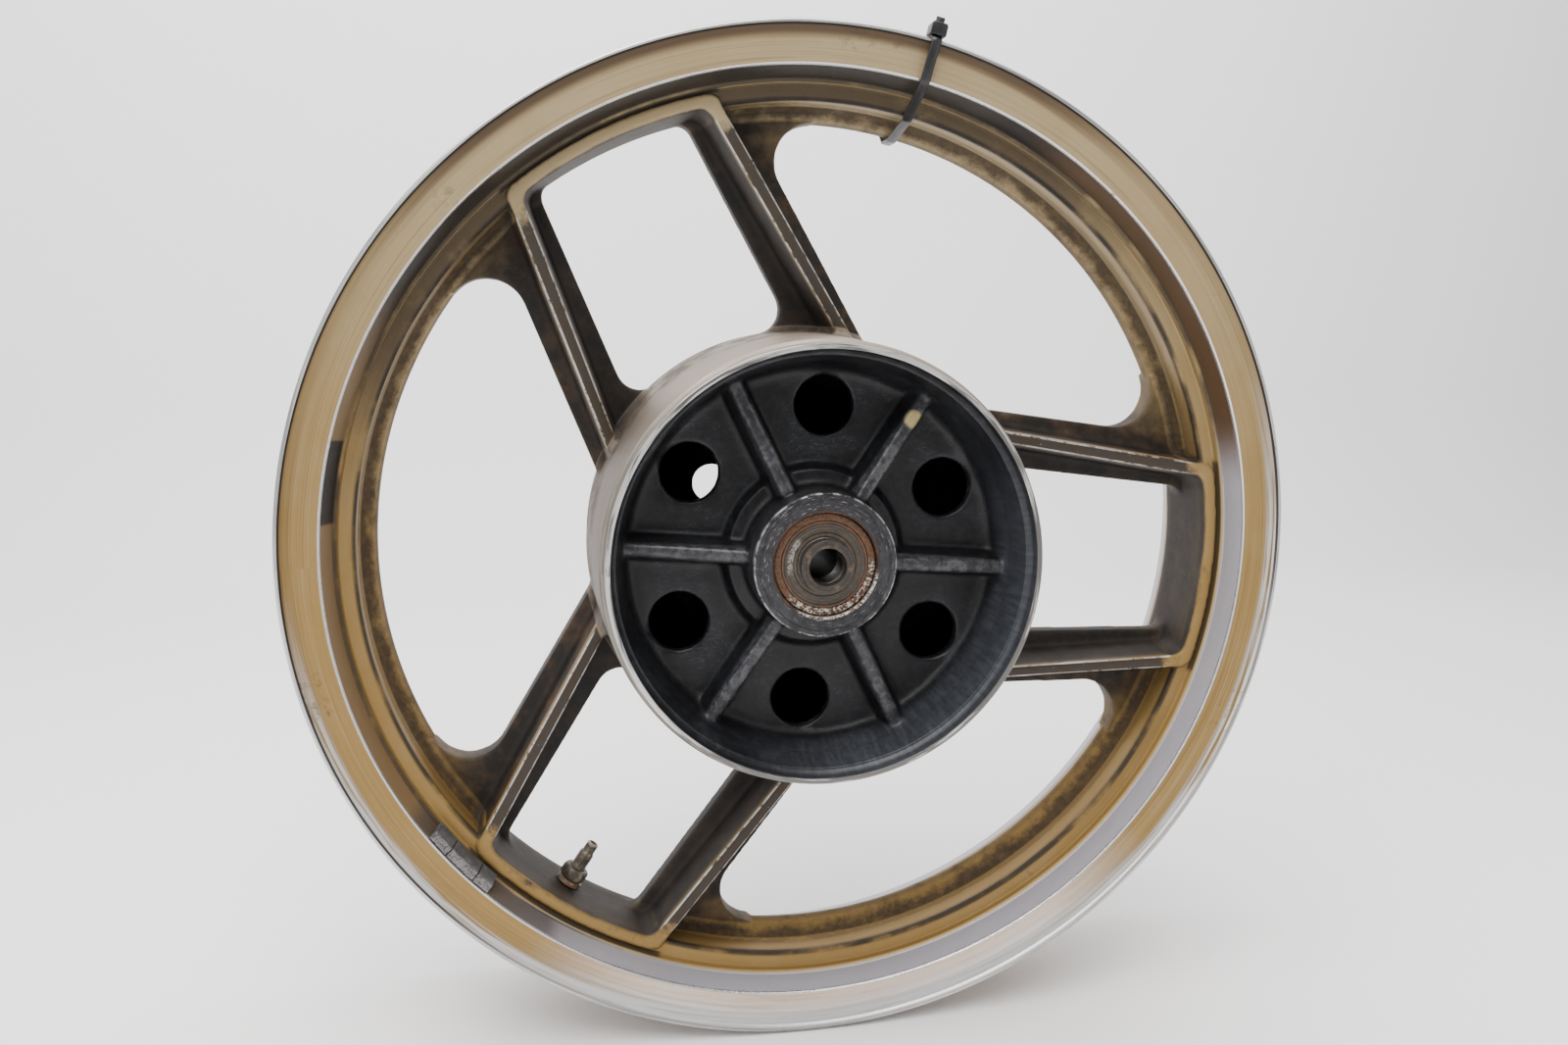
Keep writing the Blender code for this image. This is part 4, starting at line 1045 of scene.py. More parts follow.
def add_casting_patterns(f):
    """Noises, depths and distances that the layers of the casting share."""
    f.deep = abs(f.y)
    f.edge = f.layer("edge")
    f.hollow = f.layer("hollow")
    f.blotch = f.noise(0.030, 5.0, 0.6, seed=1.0)
    f.fine = f.noise(0.0035, 5.0, 0.65, seed=2.0)
    f.grit = f.noise(0.0009, 3.0, 0.6, seed=3.0)
    f.streak = f.streaks(0.0016, 0.060, 4.0)
    f.long_streak = f.streaks(0.0045, 0.160, 5.0)
    f.chips = f.noise(0.0060, 8.0, 0.75, seed=6.0).ramp(0.60, 0.68)
    f.tiny_chips = f.noise(0.0016, 4.0, 0.7, seed=7.0).ramp(0.66, 0.72)
    f.wander = (f.noise(0.022, 3.0, seed=8.0) - 0.5) * 0.0030
    along, across = f.pair_position()
    f.wall_out = across + (along * RIB_OUT_SLOPE - (RIB_OUT_V + RIB_OUT_SLOPE * REF_U))
    f.wall_in = across + (along * RIB_IN_SLOPE - (RIB_IN_V + RIB_IN_SLOPE * REF_U))


def lay_paint(f):
    """Paint, old and uneven, with a painted highlight that makes it paler towards the top."""
    # painted highlight: paler towards the top, where the light from above falls, mixed with blotches of
    # uneven paint
    pale = (f.z.ramp(-0.05, 0.22) * 0.75 + (f.blotch - 0.5) * 0.6).clip()
    f.start(f.mix(GOLD, GOLD_PALE, pale), 0.46, 0.35)
    f.coat(f.long_streak.ramp(0.52, 0.72) * 0.45, GOLD_DARK, 0.50, 0.25)
    f.coat(f.blotch.ramp(0.60, 0.75) * f.fine.ramp(0.45, 0.60) * 0.55, BROWN_GRIME, 0.60, 0.10)


def lay_flange(f):
    """Face of the flange: its dished outer zone darkened all round as painted shade, near black in the
    hollow at the top; rubbed bright at the bottom, where bare streaks on the hollow also stand as a painted
    highlight.
    """
    f.outer = f.radius.ramp(RIM_EDGE_R - 0.0008, RIM_EDGE_R)
    # painted shade: the dished outer zone of the face darker all round
    face = f.radius.ramp(0.2325, 0.2385) * f.outer
    f.coat(face * 0.35, GOLD_DARK, 0.42, 0.45)
    rings_of_wear = f.streaks(0.0007, 0.200, 14.0)
    f.coat(f.outer * rings_of_wear.ramp(0.54, 0.66) * 0.35, BROWN_GRIME, 0.50, 0.2)
    f.coat(f.outer * rings_of_wear.ramp(0.46, 0.34) * 0.30, GOLD_PALE, 0.42, 0.5)
    # painted shade: the hollow near black at the top, where it faces down
    top_hollow_shade = f.radius.ramp(0.2335, 0.2378) * f.sector(66, 126, 22) * f.outer
    f.coat(top_hollow_shade * 0.88, srgb(66, 50, 36), 0.55, 0.1)
    rub = f.outer * f.sector(-106, -62, 22) * (0.60 + f.streak.ramp(0.30, 0.65) * 0.55).clip()
    f.coat(rub * 0.9, f.mix(BARE_PINK, BARE, f.radius.ramp(0.2280, 0.2360)), 0.36, 0.75)
    # bare metal streaks on the hollow at the bottom, which also stand as a painted highlight where the
    # hollow faces up
    bare_streaks_and_highlight = f.radius.ramp(0.2345, 0.2375) * f.sector(-150, -5, 30) * f.streak.ramp(0.36, 0.54)
    f.coat(bare_streaks_and_highlight * 0.85, BARE, 0.36, 0.75)


def lay_step(f):
    """Painted step, the ledge inside it and the groove round each spoke pair, with painted shade on the
    step and band over the top and in the groove, and a painted highlight on the ledge's edge.
    """
    step = f.radius.ring(0.2212, 0.0022, 0.0003) * f.deep.ramp(LEDGE_Y, LEDGE_Y + 0.0010)
    f.coat(step * f.sector(-126, 8, 10) * 0.92, LILAC, 0.40, 0.50)
    # painted shade: the step dark brown to near black over the upper part, where it faces down
    f.coat(step * f.sector(16, 60, 10) * 0.90, srgb(66, 46, 32), 0.50, 0.1)
    f.coat(step * f.sector(64, 148, 12) * 0.94, srgb(28, 27, 30), 0.40, 0.1)
    f.coat(step * f.sector(156, 232, 12) * 0.60, srgb(104, 86, 70), 0.50, 0.3)
    f.coat(step * f.sector(165.5, 175, 0.4) * 0.95, srgb(20, 20, 22), 0.45, 0.0)
    f.coat(step * f.sector(-146, -126, 3) * 0.70, srgb(58, 54, 56), 0.50, 0.2)
    ledge = f.radius.ring(LEDGE_R - 0.0002, 0.0006, 0.0006)
    f.coat(ledge * (f.blotch + 0.4).ramp(0.62, 0.95) * f.sector(20, 240, 20) * 0.85, GRIME_AND_SHADE, 0.60, 0.0)
    # painted highlight: a pale line on the ledge's edge at the bottom right
    line = f.radius.ring(LEDGE_R - 0.0002, 0.0002, 0.0002)
    f.coat(line * f.sector(-126, 8, 10) * 0.6, GOLD_PALE, 0.40, 0.5)
    # grime and painted shade: the band dark over the top, where it faces down
    band = f.radius.ring(0.2140, 0.0044, 0.0006) * f.deep.ring(0.0279, 0.0008, 0.0006)
    f.coat(band * f.sector(58, 150, 26) * (f.blotch + 0.35).ramp(0.50, 0.85) * 0.85,
           f.mix(GRIME_AND_SHADE, BROWN_GRIME, f.fine), 0.60, 0.0)
    # painted shade: a dark line in the groove beside each pair's outer wall
    groove = f.radius.ring(0.2172, 0.0005, 0.0006) * f.deep.ramp(0.0322, 0.0312)
    f.coat(groove * f.wall_out.ramp(0.0040, 0.0010) * 0.85, GRIME_AND_SHADE, 0.70, 0.0)


def lay_channel(f):
    """Channel between the bands: road dirt over the gold, thickest away from the rims of the windows."""
    channel = (1.0 - f.radius.ramp(0.2098, 0.2106)) * f.radius.ramp(0.196, 0.199)
    inside = f.deep.ramp(0.0285, 0.0262)
    towards_band = (f.radius + f.wander).ramp(0.2035, 0.2095)
    dirt = (f.noise(0.012, 7.0, 0.7, seed=9.0) + towards_band * 0.30).ramp(0.44, 0.78)
    f.coat(channel * inside * dirt * 0.85, f.mix(BROWN_GRIME, GRIME_AND_SHADE, f.fine.ramp(0.35, 0.6)), 0.72, 0.05)
    band_foot = (f.deep + f.wander).ring(0.0268, 0.0012, 0.0022) * f.radius.ramp(0.200, 0.206)
    f.coat(band_foot * (f.blotch + 0.25).ramp(0.55, 0.80) * 0.9 * f.radius.ramp(0.2125, 0.2108),
           GRIME_AND_SHADE, 0.70, 0.0)


def lay_spokes(f):
    """Spokes: paint survives on the rim's side only, the rest is grime over worn metal, darker still in the
    hollows as painted shade.
    """
    f.arms = f.radius.ramp(0.2052, 0.2030)
    top_face = (f.deep.ramp(RIB_FACE_Y - 0.0012, RIB_FACE_Y - 0.0004)
                + f.y.ramp(RIB_BACK_Y - 0.0012, RIB_BACK_Y - 0.0004)).clip() * f.radius.ramp(0.106, 0.108)
    depth_dirt = f.deep.ramp(0.0285, 0.0235)
    # grime on the arms, with painted shade from the hollow measure in hollows and corners
    grime = (f.arms * 1.0 + f.hollow * 0.8) * depth_dirt
    f.brown = f.noise(0.016, 6.0, 0.65, seed=10.0)
    keep = (f.radius + (f.brown - 0.5) * 0.030).ramp(0.1820, 0.2060) * (1.0 - f.hollow)
    web = f.deep.ramp(0.0086, 0.0076) * (0.55 + f.sector(-60, 20, 20) * 0.35)
    f.coat((grime * (1.0 - keep * web * 0.50)).clip(),
           f.mix(GRIME_AND_SHADE, BROWN_GRIME, f.brown.ramp(0.42, 0.66)), 0.62, 0.05)
    f.coat(f.arms * depth_dirt * f.brown.ramp(0.60, 0.74) * f.fine.ramp(0.40, 0.60) * 0.55, DUST, 0.75, 0.0)
    # inside walls of each pair laid near black, varying at random
    inside_pair = f.wall_in.ramp(0.0004, -0.0004) * f.radius.ramp(0.2122, 0.2112)
    pair_wall_dark = f.mix(srgb(20, 18, 17), srgb(44, 36, 30), (f.brown * 0.7 + f.fine * 0.4).ramp(0.42, 0.72))
    f.coat(inside_pair * f.deep.ramp(0.0288, 0.0278) * 0.85, pair_wall_dark, 0.62, 0.05)
    worn = top_face * (f.radius + (f.blotch - 0.5) * 0.040 + (f.fine - 0.5) * 0.02).ramp(0.2085, 0.1985)
    f.coat(worn * 0.95, f.mix(WORN_GREY, srgb(46, 36, 28), f.fine.ramp(0.40, 0.62)), 0.50, 0.20)
    f.coat(worn * f.tiny_chips * 0.35, BARE, 0.40, 0.6)
    rib_edges = (f.wall_out.ring(-0.0003, 0.00030, 0.00035)
                 + f.wall_in.ring(0.0003, 0.00022, 0.0003)).clip()
    bright = rib_edges * f.deep.ramp(0.0285, 0.0294) * f.arms * f.radius.ramp(0.108, 0.112)
    f.coat(bright * (f.fine + (f.blotch - 0.5) * 0.6 + 0.06).ramp(0.42, 0.58) * 0.80, BARE, 0.38, 0.80)


def lay_corners(f):
    """Grime and painted shade in the deep corners beside the rim."""
    f.coat(f.hollow * f.deep.ramp(0.0290, 0.0255) * f.radius.ramp(0.100, 0.112) * 0.75, GRIME_AND_SHADE, 0.70, 0.0)


def lay_smudges(f):
    """Smudges and scuffs of the face."""
    for middle, half in ((-165.5, 2.0), (-22.0, 2.2)):
        patch = f.sector(middle - half, middle + half, 1.6) * f.radius.ramp(0.2290, 0.2330)
        f.coat(patch * (f.fine + (f.streak - 0.5) * 0.8).ramp(0.52, 0.70) * 0.6, BROWN_GRIME, 0.60, 0.1)


def lay_edge_lines(f):
    """Turned edge line, flange lip and the painted shade in the groove at its foot."""
    line = f.radius.ring(RIM_EDGE_R, 0.00036, 0.00025) * f.deep.ramp(FACE_Y - 0.0020, FACE_Y - 0.0010)
    f.coat(line * (1.0 - f.chips * 0.8), BARE, 0.28, 0.95)
    # painted shade: a dark line in the groove inside the lip, darker over the upper part
    foot = f.radius.ring(0.24015, 0.00040, 0.00020) * (f.sector(0, 220, 20) * 0.55 + 0.4)
    f.coat(foot, GRIME_AND_SHADE, 0.55, 0.1)
    lip = f.radius.ramp(0.2403, 0.2405)
    f.coat(lip, f.mix(srgb(150, 150, 150), srgb(206, 205, 204), f.streak.ramp(0.35, 0.6)), 0.34, 0.85)
    f.coat(lip * f.chips * 0.8, GRIME_AND_SHADE, 0.55, 0.1)


def lay_barrel(f):
    """Barrel of the hub, with painted shade on its left side and in its hollows."""
    f.hub = f.radius.ramp(0.1075, 0.1062)
    barrel = f.hub * f.radius.ramp(0.0985, 0.0995)
    tan = f.mix(srgb(128, 112, 96), srgb(160, 148, 134), (f.blotch * 0.6 + f.streak * 0.5).clip())
    f.coat(barrel, tan, 0.50, 0.35)
    # painted shade: the barrel darker on its left side
    side = f.sector(150, 260, 25)
    f.coat(barrel * (0.20 + side * 0.55),
           f.mix(srgb(54, 50, 48), srgb(84, 78, 73), f.streak.ramp(0.4, 0.6)), 0.55, 0.20)
    scores = f.streaks(0.0010, 0.120, 15.0)
    f.coat(barrel * scores.ramp(0.55, 0.66) * 0.5, srgb(72, 62, 54), 0.60, 0.1)
    f.coat(barrel * f.deep.ramp(0.0420, 0.0240) * f.brown.ramp(0.42, 0.62) * 0.75, BROWN_GRIME, 0.70, 0.05)
    # grime and painted shade in the barrel's hollows
    f.coat(barrel * f.hollow * 0.9, GRIME_AND_SHADE, 0.72, 0.0)
    dash = f.y.ring(0.0030, 0.0007, 0.0003) * f.sector(109.5, 122.5, 0.6)
    f.coat(barrel * dash, GRIME_AND_SHADE, 0.6, 0.0)
    tube = f.radius.ramp(0.0635, 0.0625) * f.y.ramp(0.0092, 0.0100)
    # back of the hub: grime, heavier in hollows as painted shade
    back = f.hub * (f.y.ramp(0.0325, 0.0335) + tube).clip()
    f.coat(back, f.mix(srgb(116, 108, 98), GRIME_AND_SHADE, (f.brown * 0.9 + f.hollow * 0.5).ramp(0.35, 0.75)),
           0.60, 0.35)
    seat = f.radius.ring((DISC_RING_IN_R + DISC_RING_OUT_R) / 2, 0.0055, 0.0003) * f.y.ramp(0.0548, 0.0556)
    f.coat(seat, f.mix(BARE, WORN_GREY, f.streak.ramp(0.45, 0.7)), 0.34, 0.90)


def lay_drum(f):
    """Inside of the drum, with a painted sheen on its wall, painted highlights on its ribs, and painted
    shade in its hollows and in the cavity behind it.
    """
    f.drum = f.radius.ramp(0.0982, 0.0976) * f.y.ramp(0.0100, 0.0000)
    satin = f.mix(BLACK, BLUE_HAZE,
                  (f.fine.ramp(0.40, 0.75) * 0.5 + f.blotch.ramp(0.45, 0.75) * 0.5).clip())
    f.coat(f.drum, satin, 0.34, 0.10)
    wall = f.radius.ramp(0.0880, 0.0905)
    axial = f.noise(0.0020, 3.0, 0.6, f.join(f.angle * 0.09, f.y * 0.12, 0.0), 13.0)
    # painted sheen: a light blue-grey sheen along the wall at the lower right
    wall_sheen = wall * f.sector(-75, 0, 45) * (axial.ramp(0.35, 0.75) * 0.6 + 0.4)
    f.coat(f.drum * wall_sheen * 0.50, srgb(84, 87, 94), 0.42, 0.25)
    # painted shade: near black in the drum's hollows
    f.coat(f.drum * f.hollow * 0.6, srgb(16, 15, 15), 0.60, 0.0)
    scratch = f.noise(0.0030, 2.0, 0.5, f.join(f.x * 0.25, f.y, f.z), 11.0, 1.5).ring(0.5, 0.006, 0.010)
    f.coat(f.drum * scratch * f.blotch.ramp(0.48, 0.62) * 0.22, srgb(110, 110, 112), 0.40, 0.4)
    # painted highlight: the upper faces of the drum ribs lighter
    rib_face_highlight = f.y.ramp(-0.0570, -0.0598) * f.radius.ramp(0.0345, 0.0360)
    f.coat(f.drum * rib_face_highlight * f.radius.ramp(0.0905, 0.0880) * 0.6,
           f.mix(srgb(58, 58, 62), srgb(92, 92, 96), f.fine.ramp(0.42, 0.62)), 0.36, 0.30)
    # painted highlight: a light line along the tops of the drum ribs
    rib_top_highlight = f.drum * f.edge.ramp(0.35, 0.80) * f.y.ramp(-0.0570, -0.0595) * f.radius.ramp(0.0345, 0.0360)
    f.coat(rib_top_highlight * f.radius.ramp(0.0925, 0.0905) * (f.fine + 0.02).ramp(0.44, 0.60) * 0.55,
           srgb(124, 122, 120), 0.40, 0.5)
    nick = (1.0 - (f.point_distance(0.0445, -0.0612, 0.0640)).ramp(0.0030, 0.0052)) * f.drum
    f.coat(nick * f.edge.ramp(0.05, 0.3), srgb(176, 160, 112), 0.45, 0.3)

    # painted shade with grime: the cavity behind the drum floor and back wall laid dark
    behind_wall = f.radius.ramp(0.0635, 0.0650) * f.y.ramp(0.0332, 0.0322)
    cavity = f.radius.ramp(0.0990, 0.0984) * f.y.ramp(-0.0418, -0.0408)
    cavity = cavity * (f.y.ramp(0.0090, 0.0080) + behind_wall).clip()
    f.coat(cavity, f.mix(GRIME_AND_SHADE, BROWN_GRIME, f.brown.ramp(0.45, 0.70)), 0.75, 0.0)


def lay_mouth(f):
    """Ring at the mouth of the drum."""
    mouth = f.radius.ramp(0.0962, 0.0968) * f.y.ramp(DRUM_FRONT_Y + 0.0012, DRUM_FRONT_Y + 0.0006)
    # rubbed streaks, with a painted highlight that makes the ring brighter on the upper left
    rubbed = (f.streak + (f.sector(70, 210, 40) - 0.5) * 0.12).ramp(0.46, 0.60)
    f.coat(mouth * f.hub, f.mix(srgb(104, 102, 100), srgb(196, 195, 192), rubbed), 0.38, 0.70)
    chamfer = f.hub * f.radius.ramp(0.0985, 0.0992) * f.y.ramp(DRUM_FRONT_Y + 0.0075, DRUM_FRONT_Y + 0.0060)
    f.coat(chamfer * (0.15 + f.streak.ramp(0.46, 0.64) * 0.5).clip(), srgb(150, 145, 138), 0.42, 0.50)
    f.coat(mouth * f.chips * 0.5, GRIME_AND_SHADE, 0.6, 0.1)


def lay_boss(f):
    """Face of the boss and the pocket of the bearing."""
    boss = f.radius.ramp(0.0336, 0.0331) * f.y.ramp(0.0, -0.0400)
    cast = f.mix(srgb(34, 33, 35), srgb(60, 59, 62), (f.blotch * 0.5 + f.fine * 0.6).ramp(0.40, 0.72))
    f.coat(boss, cast, 0.40, 0.35)
    front_face = boss * f.y.ramp(BOSS_FRONT_Y + 0.0012, BOSS_FRONT_Y + 0.0004)
    rings = f.streaks(0.00055, 0.030, 12.0).ramp(0.58, 0.68)
    # turned rings, with a painted highlight that makes them brighter on the upper left
    f.coat(front_face * rings * (0.22 + f.sector(80, 170, 30) * 0.30), srgb(190, 189, 188), 0.34, 0.8)
    rim_shine = f.radius.ramp(0.0320, 0.0326) * f.y.ramp(BOSS_FRONT_Y + 0.0030, BOSS_FRONT_Y + 0.0008)
    f.coat(boss * rim_shine * (f.fine + (f.blotch - 0.5) * 0.5).ramp(0.42, 0.60) * 0.60,
           srgb(186, 184, 182), 0.34, 0.8)
    pocket = f.radius.ramp(0.0252, 0.0244) * f.y.ramp(0.0, -0.0400)
    rust = f.mix(srgb(96, 62, 40), srgb(44, 34, 28), (f.fine * 0.6 + f.blotch * 0.5).ramp(0.40, 0.62))
    f.coat(pocket * (0.75 + f.blotch * 0.3).clip(), rust, 0.70, 0.20)
    broken = pocket * f.sector(-112, -18, 14) * f.y.ramp(BOSS_FRONT_Y + 0.0022, BOSS_FRONT_Y + 0.0010)
    f.coat(broken * f.grit.ramp(0.42, 0.55), srgb(216, 208, 196), 0.42, 0.6)


def lay_bore(f):
    """Bores of the disc side."""
    bore = f.radius.ramp(0.0238, 0.0230) * f.y.ramp(0.0, 0.0400)
    f.coat(bore, srgb(132, 130, 126), 0.40, 0.85)


def casting_finish():
    # the casting's finish holds paint, wear and grime as well as painted shade and highlights
    f = Finish("gold_casting_worn_and_shaded")
    add_casting_patterns(f)
    for lay in (lay_paint, lay_flange, lay_step, lay_channel, lay_spokes,
                lay_corners, lay_smudges, lay_edge_lines, lay_barrel, lay_drum,
                lay_mouth, lay_boss, lay_bore):
        lay(f)
    height = (f.fine - 0.5) * 0.35 + (f.grit - 0.5) * 0.30 + (f.streak - 0.5) * 0.12 + f.chips * -0.10
    f.roughness = (f.roughness + (f.fine - 0.5) * 0.16 + (f.streak - 0.5) * 0.10).clip()
    return f.done(height, 0.00035, Specular_IOR_Level=0.30)


# ---------------------------------------------------------------- finishes of the smaller parts
def steel_finish(name, base, dark, rust_amount=0.0, roughness=0.32):
    """Turned or rolled steel with grease, rings of wear and some rust."""
    f = Finish(name)
    blotch = f.noise(0.0060, 5.0, 0.65, seed=21.0)
    fine = f.noise(0.0011, 4.0, 0.6, seed=22.0)
    streak = f.streaks(0.00035, 0.020, 23.0)
    f.start(f.mix(base, dark, (blotch * 0.6 + streak * 0.5).ramp(0.42, 0.72)), roughness, 0.85)
    f.coat((blotch + rust_amount - 0.5).ramp(0.10, 0.30), srgb(104, 66, 40), 0.70, 0.15)
    f.coat(fine.ramp(0.62, 0.72) * 0.6, GRIME_AND_SHADE, 0.60, 0.05)
    f.roughness = f.roughness + (streak - 0.5) * 0.12
    return f.done(streak * 0.5 + fine * 0.5, 0.00006)


def inner_ring_finish():
    """Steel about the axle: the faces are rubbed grey, the seats are darker, the bore has dried grease."""
    f = Finish("spacer_steel_worn")
    blotch = f.noise(0.0050, 5.0, 0.65, seed=25.0)
    streak = f.streaks(0.00030, 0.016, 26.0)
    fine = f.noise(0.0009, 4.0, 0.6, seed=27.0)
    f.start(f.mix(srgb(70, 64, 59), srgb(44, 40, 37), streak.ramp(0.40, 0.65)), 0.42, 0.55)
    f.coat(f.radius.ring(0.0104, 0.00025, 0.0002) * 0.8, GRIME_AND_SHADE, 0.55, 0.1)
    f.coat(blotch.ramp(0.56, 0.70) * 0.6, srgb(112, 92, 70), 0.55, 0.3)
    f.coat(f.radius.ramp(0.0092, 0.0087) * 0.8, srgb(52, 44, 38), 0.50, 0.4)
    return f.done(streak * 0.6 + fine * 0.4, 0.00008)


def bearing_finish():
    """Bearing rings: rust-stained outer ring, dull grey inner ring."""
    f = Finish("bearing_steel_worn")
    blotch = f.noise(0.0042, 6.0, 0.7, seed=31.0)
    fine = f.noise(0.0010, 4.0, 0.6, seed=32.0)
    streak = f.streaks(0.00030, 0.018, 33.0)
    f.start(f.mix(srgb(140, 134, 126), srgb(92, 86, 80), streak.ramp(0.40, 0.62)), 0.34, 0.80)
    outer = f.radius.ramp(0.0196, 0.0204)
    f.coat(outer * (blotch + 0.25).ramp(0.45, 0.62), srgb(98, 66, 42), 0.62, 0.25)
    f.coat(outer * fine.ramp(0.46, 0.58) * 0.8, srgb(48, 36, 28), 0.66, 0.05)
    f.coat(outer * f.sector(-125, -10, 20) * fine.ramp(0.50, 0.44) * 0.8, srgb(206, 200, 192), 0.40, 0.7)
    return f.done(blotch * 0.5 + fine * 0.5 + streak * 0.3, 0.00016)


def rubber_finish():
    """Old seals: olive brown with dried grease, wear rings and a pale smear."""
    f = Finish("seal_rubber_aged")
    blotch = f.noise(0.0036, 5.0, 0.65, seed=41.0)
    fine = f.noise(0.0009, 4.0, 0.6, seed=42.0)
    streak = f.streaks(0.00040, 0.022, 43.0)
    f.start(f.mix(srgb(72, 63, 52), srgb(46, 39, 33), (streak * 0.6 + blotch * 0.5).ramp(0.42, 0.70)),
            0.55, 0.05)
    for radius in (0.0146, 0.0172, 0.0190):
        f.coat(f.radius.ring(radius, 0.00016, 0.00025) * 0.75, srgb(44, 34, 26), 0.60, 0.0)
    f.coat(f.radius.ramp(0.0180, 0.0196) * blotch.ramp(0.42, 0.60) * 0.8, srgb(104, 62, 32), 0.70, 0.05)
    smear = f.radius.ring(0.0160, 0.0010, 0.0006) * f.sector(145, 185, 14)
    f.coat(smear * (fine + 0.05).ramp(0.45, 0.62) * 0.45, srgb(186, 182, 174), 0.50, 0.1)
    f.coat(f.radius.ramp(0.0900, 0.1500), srgb(30, 29, 29), 0.65, 0.0)
    return f.done(streak * 0.5 + fine * 0.5, 0.00010)


def valve_finish():
    """Brass darkened by grime, rubbed bright at the tip."""
    f = Finish("valve_brass_dirty")
    blotch = f.noise(0.0050, 5.0, 0.65, seed=51.0)
    fine = f.noise(0.0011, 4.0, 0.6, seed=52.0)
    f.start(f.mix(srgb(74, 68, 60), srgb(116, 106, 92), blotch.ramp(0.42, 0.66)), 0.46, 0.60)
    f.coat(fine.ramp(0.48, 0.62) * 0.6, srgb(40, 36, 32), 0.62, 0.1)
    tip = f.radius.ramp(VALVE_TIP_R + 0.0016, VALVE_TIP_R + 0.0004)
    f.coat(tip * 0.8, srgb(176, 166, 146), 0.34, 0.85)
    return f.done(fine * 0.6 + blotch * 0.4, 0.00010)


def lead_finish():
    """Cast lead weights, oxidised grey with rubbed corners and grime in the gaps."""
    f = Finish("weight_lead_oxidised")
    blotch = f.noise(0.0070, 5.0, 0.65, seed=61.0)
    fine = f.noise(0.0012, 5.0, 0.65, seed=62.0)
    f.start(f.mix(srgb(66, 64, 66), srgb(98, 96, 96), blotch.ramp(0.38, 0.66)), 0.48, 0.40)
    rubbed = f.y.ramp(-0.0400, -0.0418)
    f.coat(rubbed * (fine + 0.05).ramp(0.48, 0.60) * 0.55, srgb(150, 148, 146), 0.38, 0.70)
    f.coat(fine.ramp(0.56, 0.66) * 0.7, GRIME_AND_SHADE, 0.60, 0.05)
    f.coat(f.radius.ramp(0.2182, 0.2168) * 0.45, srgb(58, 54, 52), 0.52, 0.3)
    return f.done(fine * 0.6 + blotch * 0.6, 0.00018)


def nylon_finish():
    """Black cable tie, slightly dusty, with moulding grain."""
    f = Finish("tie_nylon_black")
    blotch = f.noise(0.0050, 4.0, 0.6, seed=71.0)
    fine = f.noise(0.0008, 3.0, 0.6, seed=72.0)
    f.start(f.mix(srgb(20, 20, 22), srgb(34, 34, 37), blotch.ramp(0.40, 0.70)), 0.36, 0.0)
    f.coat(fine.ramp(0.60, 0.72) * 0.30, srgb(74, 72, 70), 0.55, 0.0)
    f.roughness = f.roughness + (fine - 0.5) * 0.15
    return f.done(fine, 0.00005)


# ---------------------------------------------------------------- assembly
def wear(objects, material):
    for obj in objects:
        obj.data.materials.clear()
        obj.data.materials.append(material)


casting = [turned_rim(), cast_body(), turned_hub(), *turned_bosses()]
for part in casting:
    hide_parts("wheel_casting")
    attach(part, "wheel")
wear(casting, casting_finish())

rings = bearing_rings("drum_bearing", FRONT_BEARING_Y) + bearing_rings("disc_bearing", BACK_BEARING_Y)
sleeves, dust_seal = axle_sleeves()
shields = [bearing_seal("drum_bearing", -1, FRONT_BEARING_Y),
           bearing_seal("disc_bearing", 1, BACK_BEARING_Y)]
stem, nut, washer, grommet, pin = build_valve()

rubber = rubber_finish()
ring_steel = bearing_finish()
wear(rings, ring_steel)
wear(sleeves, inner_ring_finish())
wear([*shields, dust_seal, grommet], rubber)
wear([stem, nut, pin], valve_finish())
wear([washer], steel_finish("washer_steel_plated", srgb(150, 146, 138), srgb(96, 90, 82), 0.18))
wear(build_weights(), lead_finish())
wear(build_tie(), nylon_finish())

cage_steel = steel_finish("cage_steel_pressed", srgb(150, 146, 140), srgb(108, 104, 98), 0.05, 0.30)
ball_steel = steel_finish("bearing_ball_steel", srgb(190, 190, 190), srgb(150, 150, 150), 0.0, 0.12)
for name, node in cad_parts.items():
    if "_ball_" in name:
        wear([node], ball_steel)
    elif name.endswith("_cage"):
        wear([node], cage_steel)
    elif name in ("drum_bearing_seal_disc_side", "disc_bearing_seal_drum_side"):
        wear([node], rubber)


# ---------------------------------------------------------------- floor, light and camera
def plain_material(name, colour, roughness):
    material = bpy.data.materials.new(name)
    material.use_nodes = True
    shader = material.node_tree.nodes["Principled BSDF"]
    shader.inputs["Base Color"].default_value = colour
    shader.inputs["Roughness"].default_value = roughness
    return material


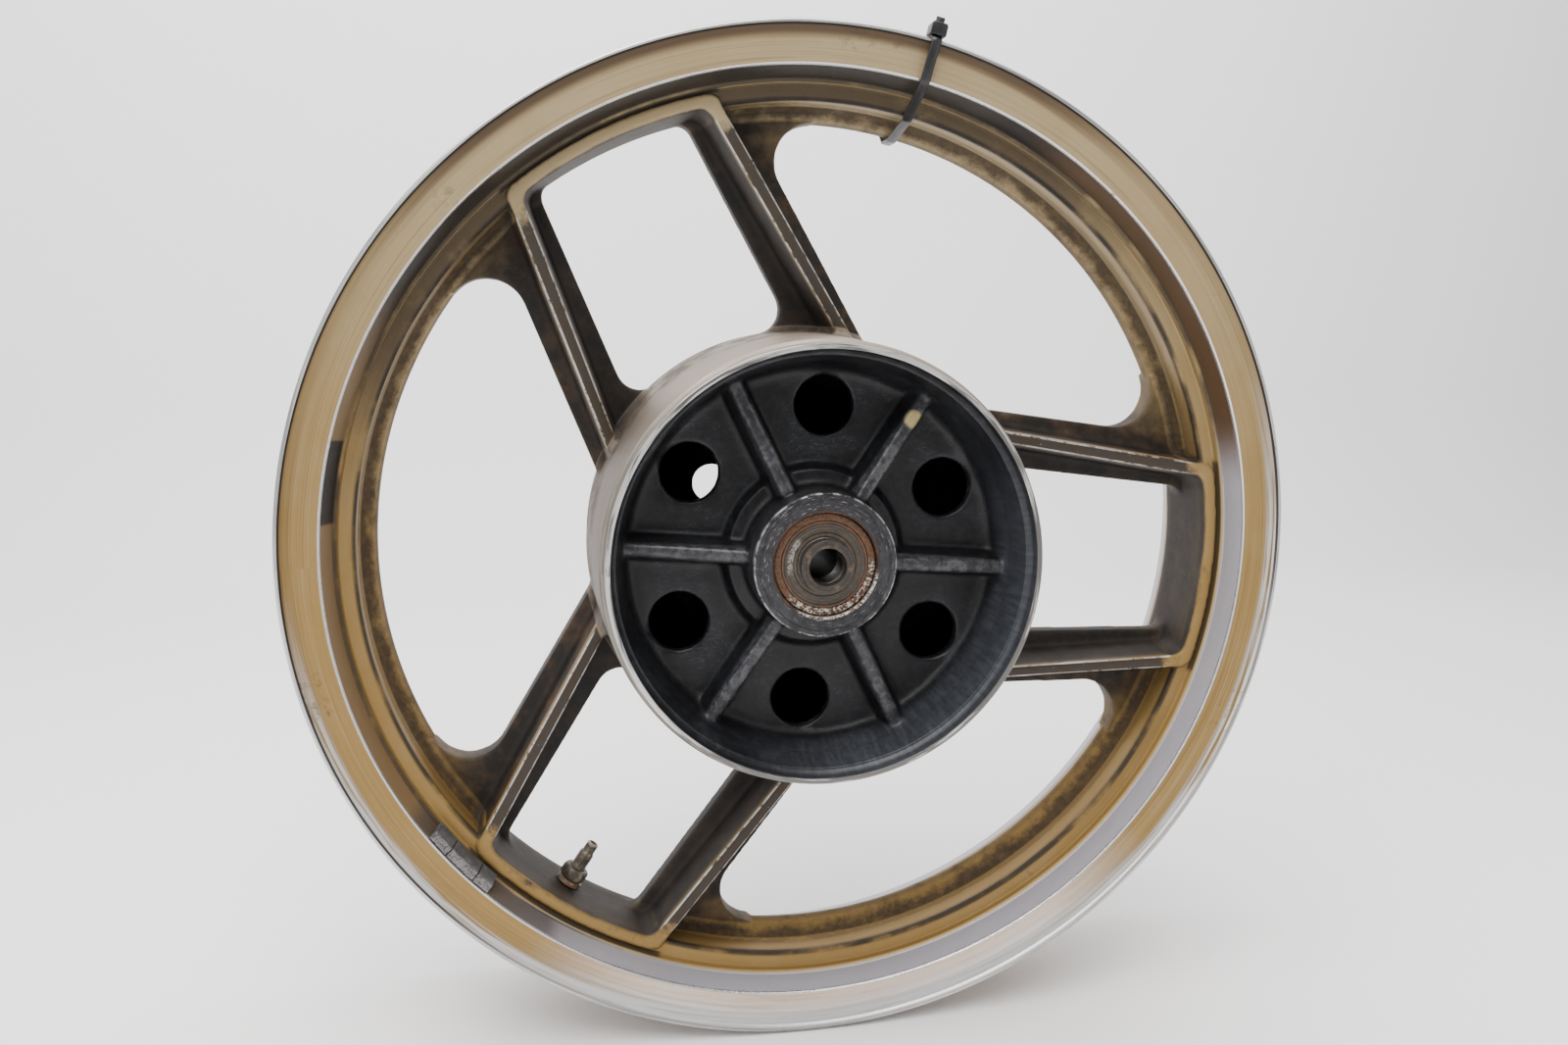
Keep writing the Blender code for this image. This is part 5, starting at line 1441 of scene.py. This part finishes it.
def add_floor():
    """Plain floor that curves up into a plain wall, far enough back for a view from behind."""
    bm = bmesh.new()
    level, wall_y, bend = -RIM_BOTTOM, 1.30, 0.25
    profile = [(-3.0, level)]
    profile += [(wall_y - bend + bend * sin(a), level + bend - bend * cos(a))
                for a in (i * pi / 2 / 16 for i in range(17))]
    profile.append((wall_y, 2.6))
    rows = [[bm.verts.new((x, y, z)) for x in (-3.5, 3.5)] for y, z in profile]
    for here, there in zip(rows, rows[1:]):
        bm.faces.new((here[0], here[1], there[1], there[0]))
    floor_piece = new_piece("floor", bm, 60.0)
    floor_piece.data.materials.append(plain_material("pale_floor", srgb(244, 242, 242), 0.85))


def add_light(name, at, toward, size, power, colour=(1.0, 1.0, 1.0)):
    data = bpy.data.lights.new(name, "AREA")
    data.shape = "RECTANGLE"
    data.size, data.size_y = size
    data.energy = power
    data.color = colour
    light = bpy.data.objects.new(name, data)
    light.location = at
    light.rotation_euler = (Vector(toward) - Vector(at)).to_track_quat("-Z", "Y").to_euler()
    light.visible_camera = False
    bpy.context.scene.collection.objects.link(light)


RIM_BOTTOM = 0.2430
add_floor()
add_light("overhead_soft", (-0.35, -0.70, 1.45), (0.0, 0.0, 0.0), (1.6, 1.4), 52.0, (1.0, 0.985, 0.96))
add_light("window_left", (-1.55, -1.05, 0.75), (0.0, 0.0, 0.0), (1.3, 1.3), 17.0, (0.95, 0.98, 1.0))
add_light("wall_wash", (0.0, 0.10, 1.50), (0.0, 0.62, 0.10), (2.4, 0.5), 28.0)
add_light("wall_wash_far", (0.0, 0.70, 1.60), (0.0, 1.30, 0.20), (2.8, 0.5), 16.0)
add_light("fill_right", (1.50, -1.20, 0.55), (0.0, 0.0, 0.0), (1.3, 1.3), 9.0, (1.0, 0.99, 0.97))
world = bpy.data.worlds.new("studio")
world.use_nodes = True
world.node_tree.nodes["Background"].inputs["Color"].default_value = (0.86, 0.88, 0.90, 1.0)
world.node_tree.nodes["Background"].inputs["Strength"].default_value = 0.30
bpy.context.scene.world = world

camera_data = bpy.data.cameras.new("camera")
camera_data.lens = 29.25
camera_data.sensor_width = 36.0
camera_data.clip_start = 0.01
camera = bpy.data.objects.new("camera", camera_data)
camera.location = (-0.1196, -0.6295, 0.1048)
camera.rotation_euler = Vector((0.17694, 0.97286, -0.14933)).to_track_quat("-Z", "Y").to_euler()
bpy.context.scene.collection.objects.link(camera)
bpy.context.scene.camera = camera
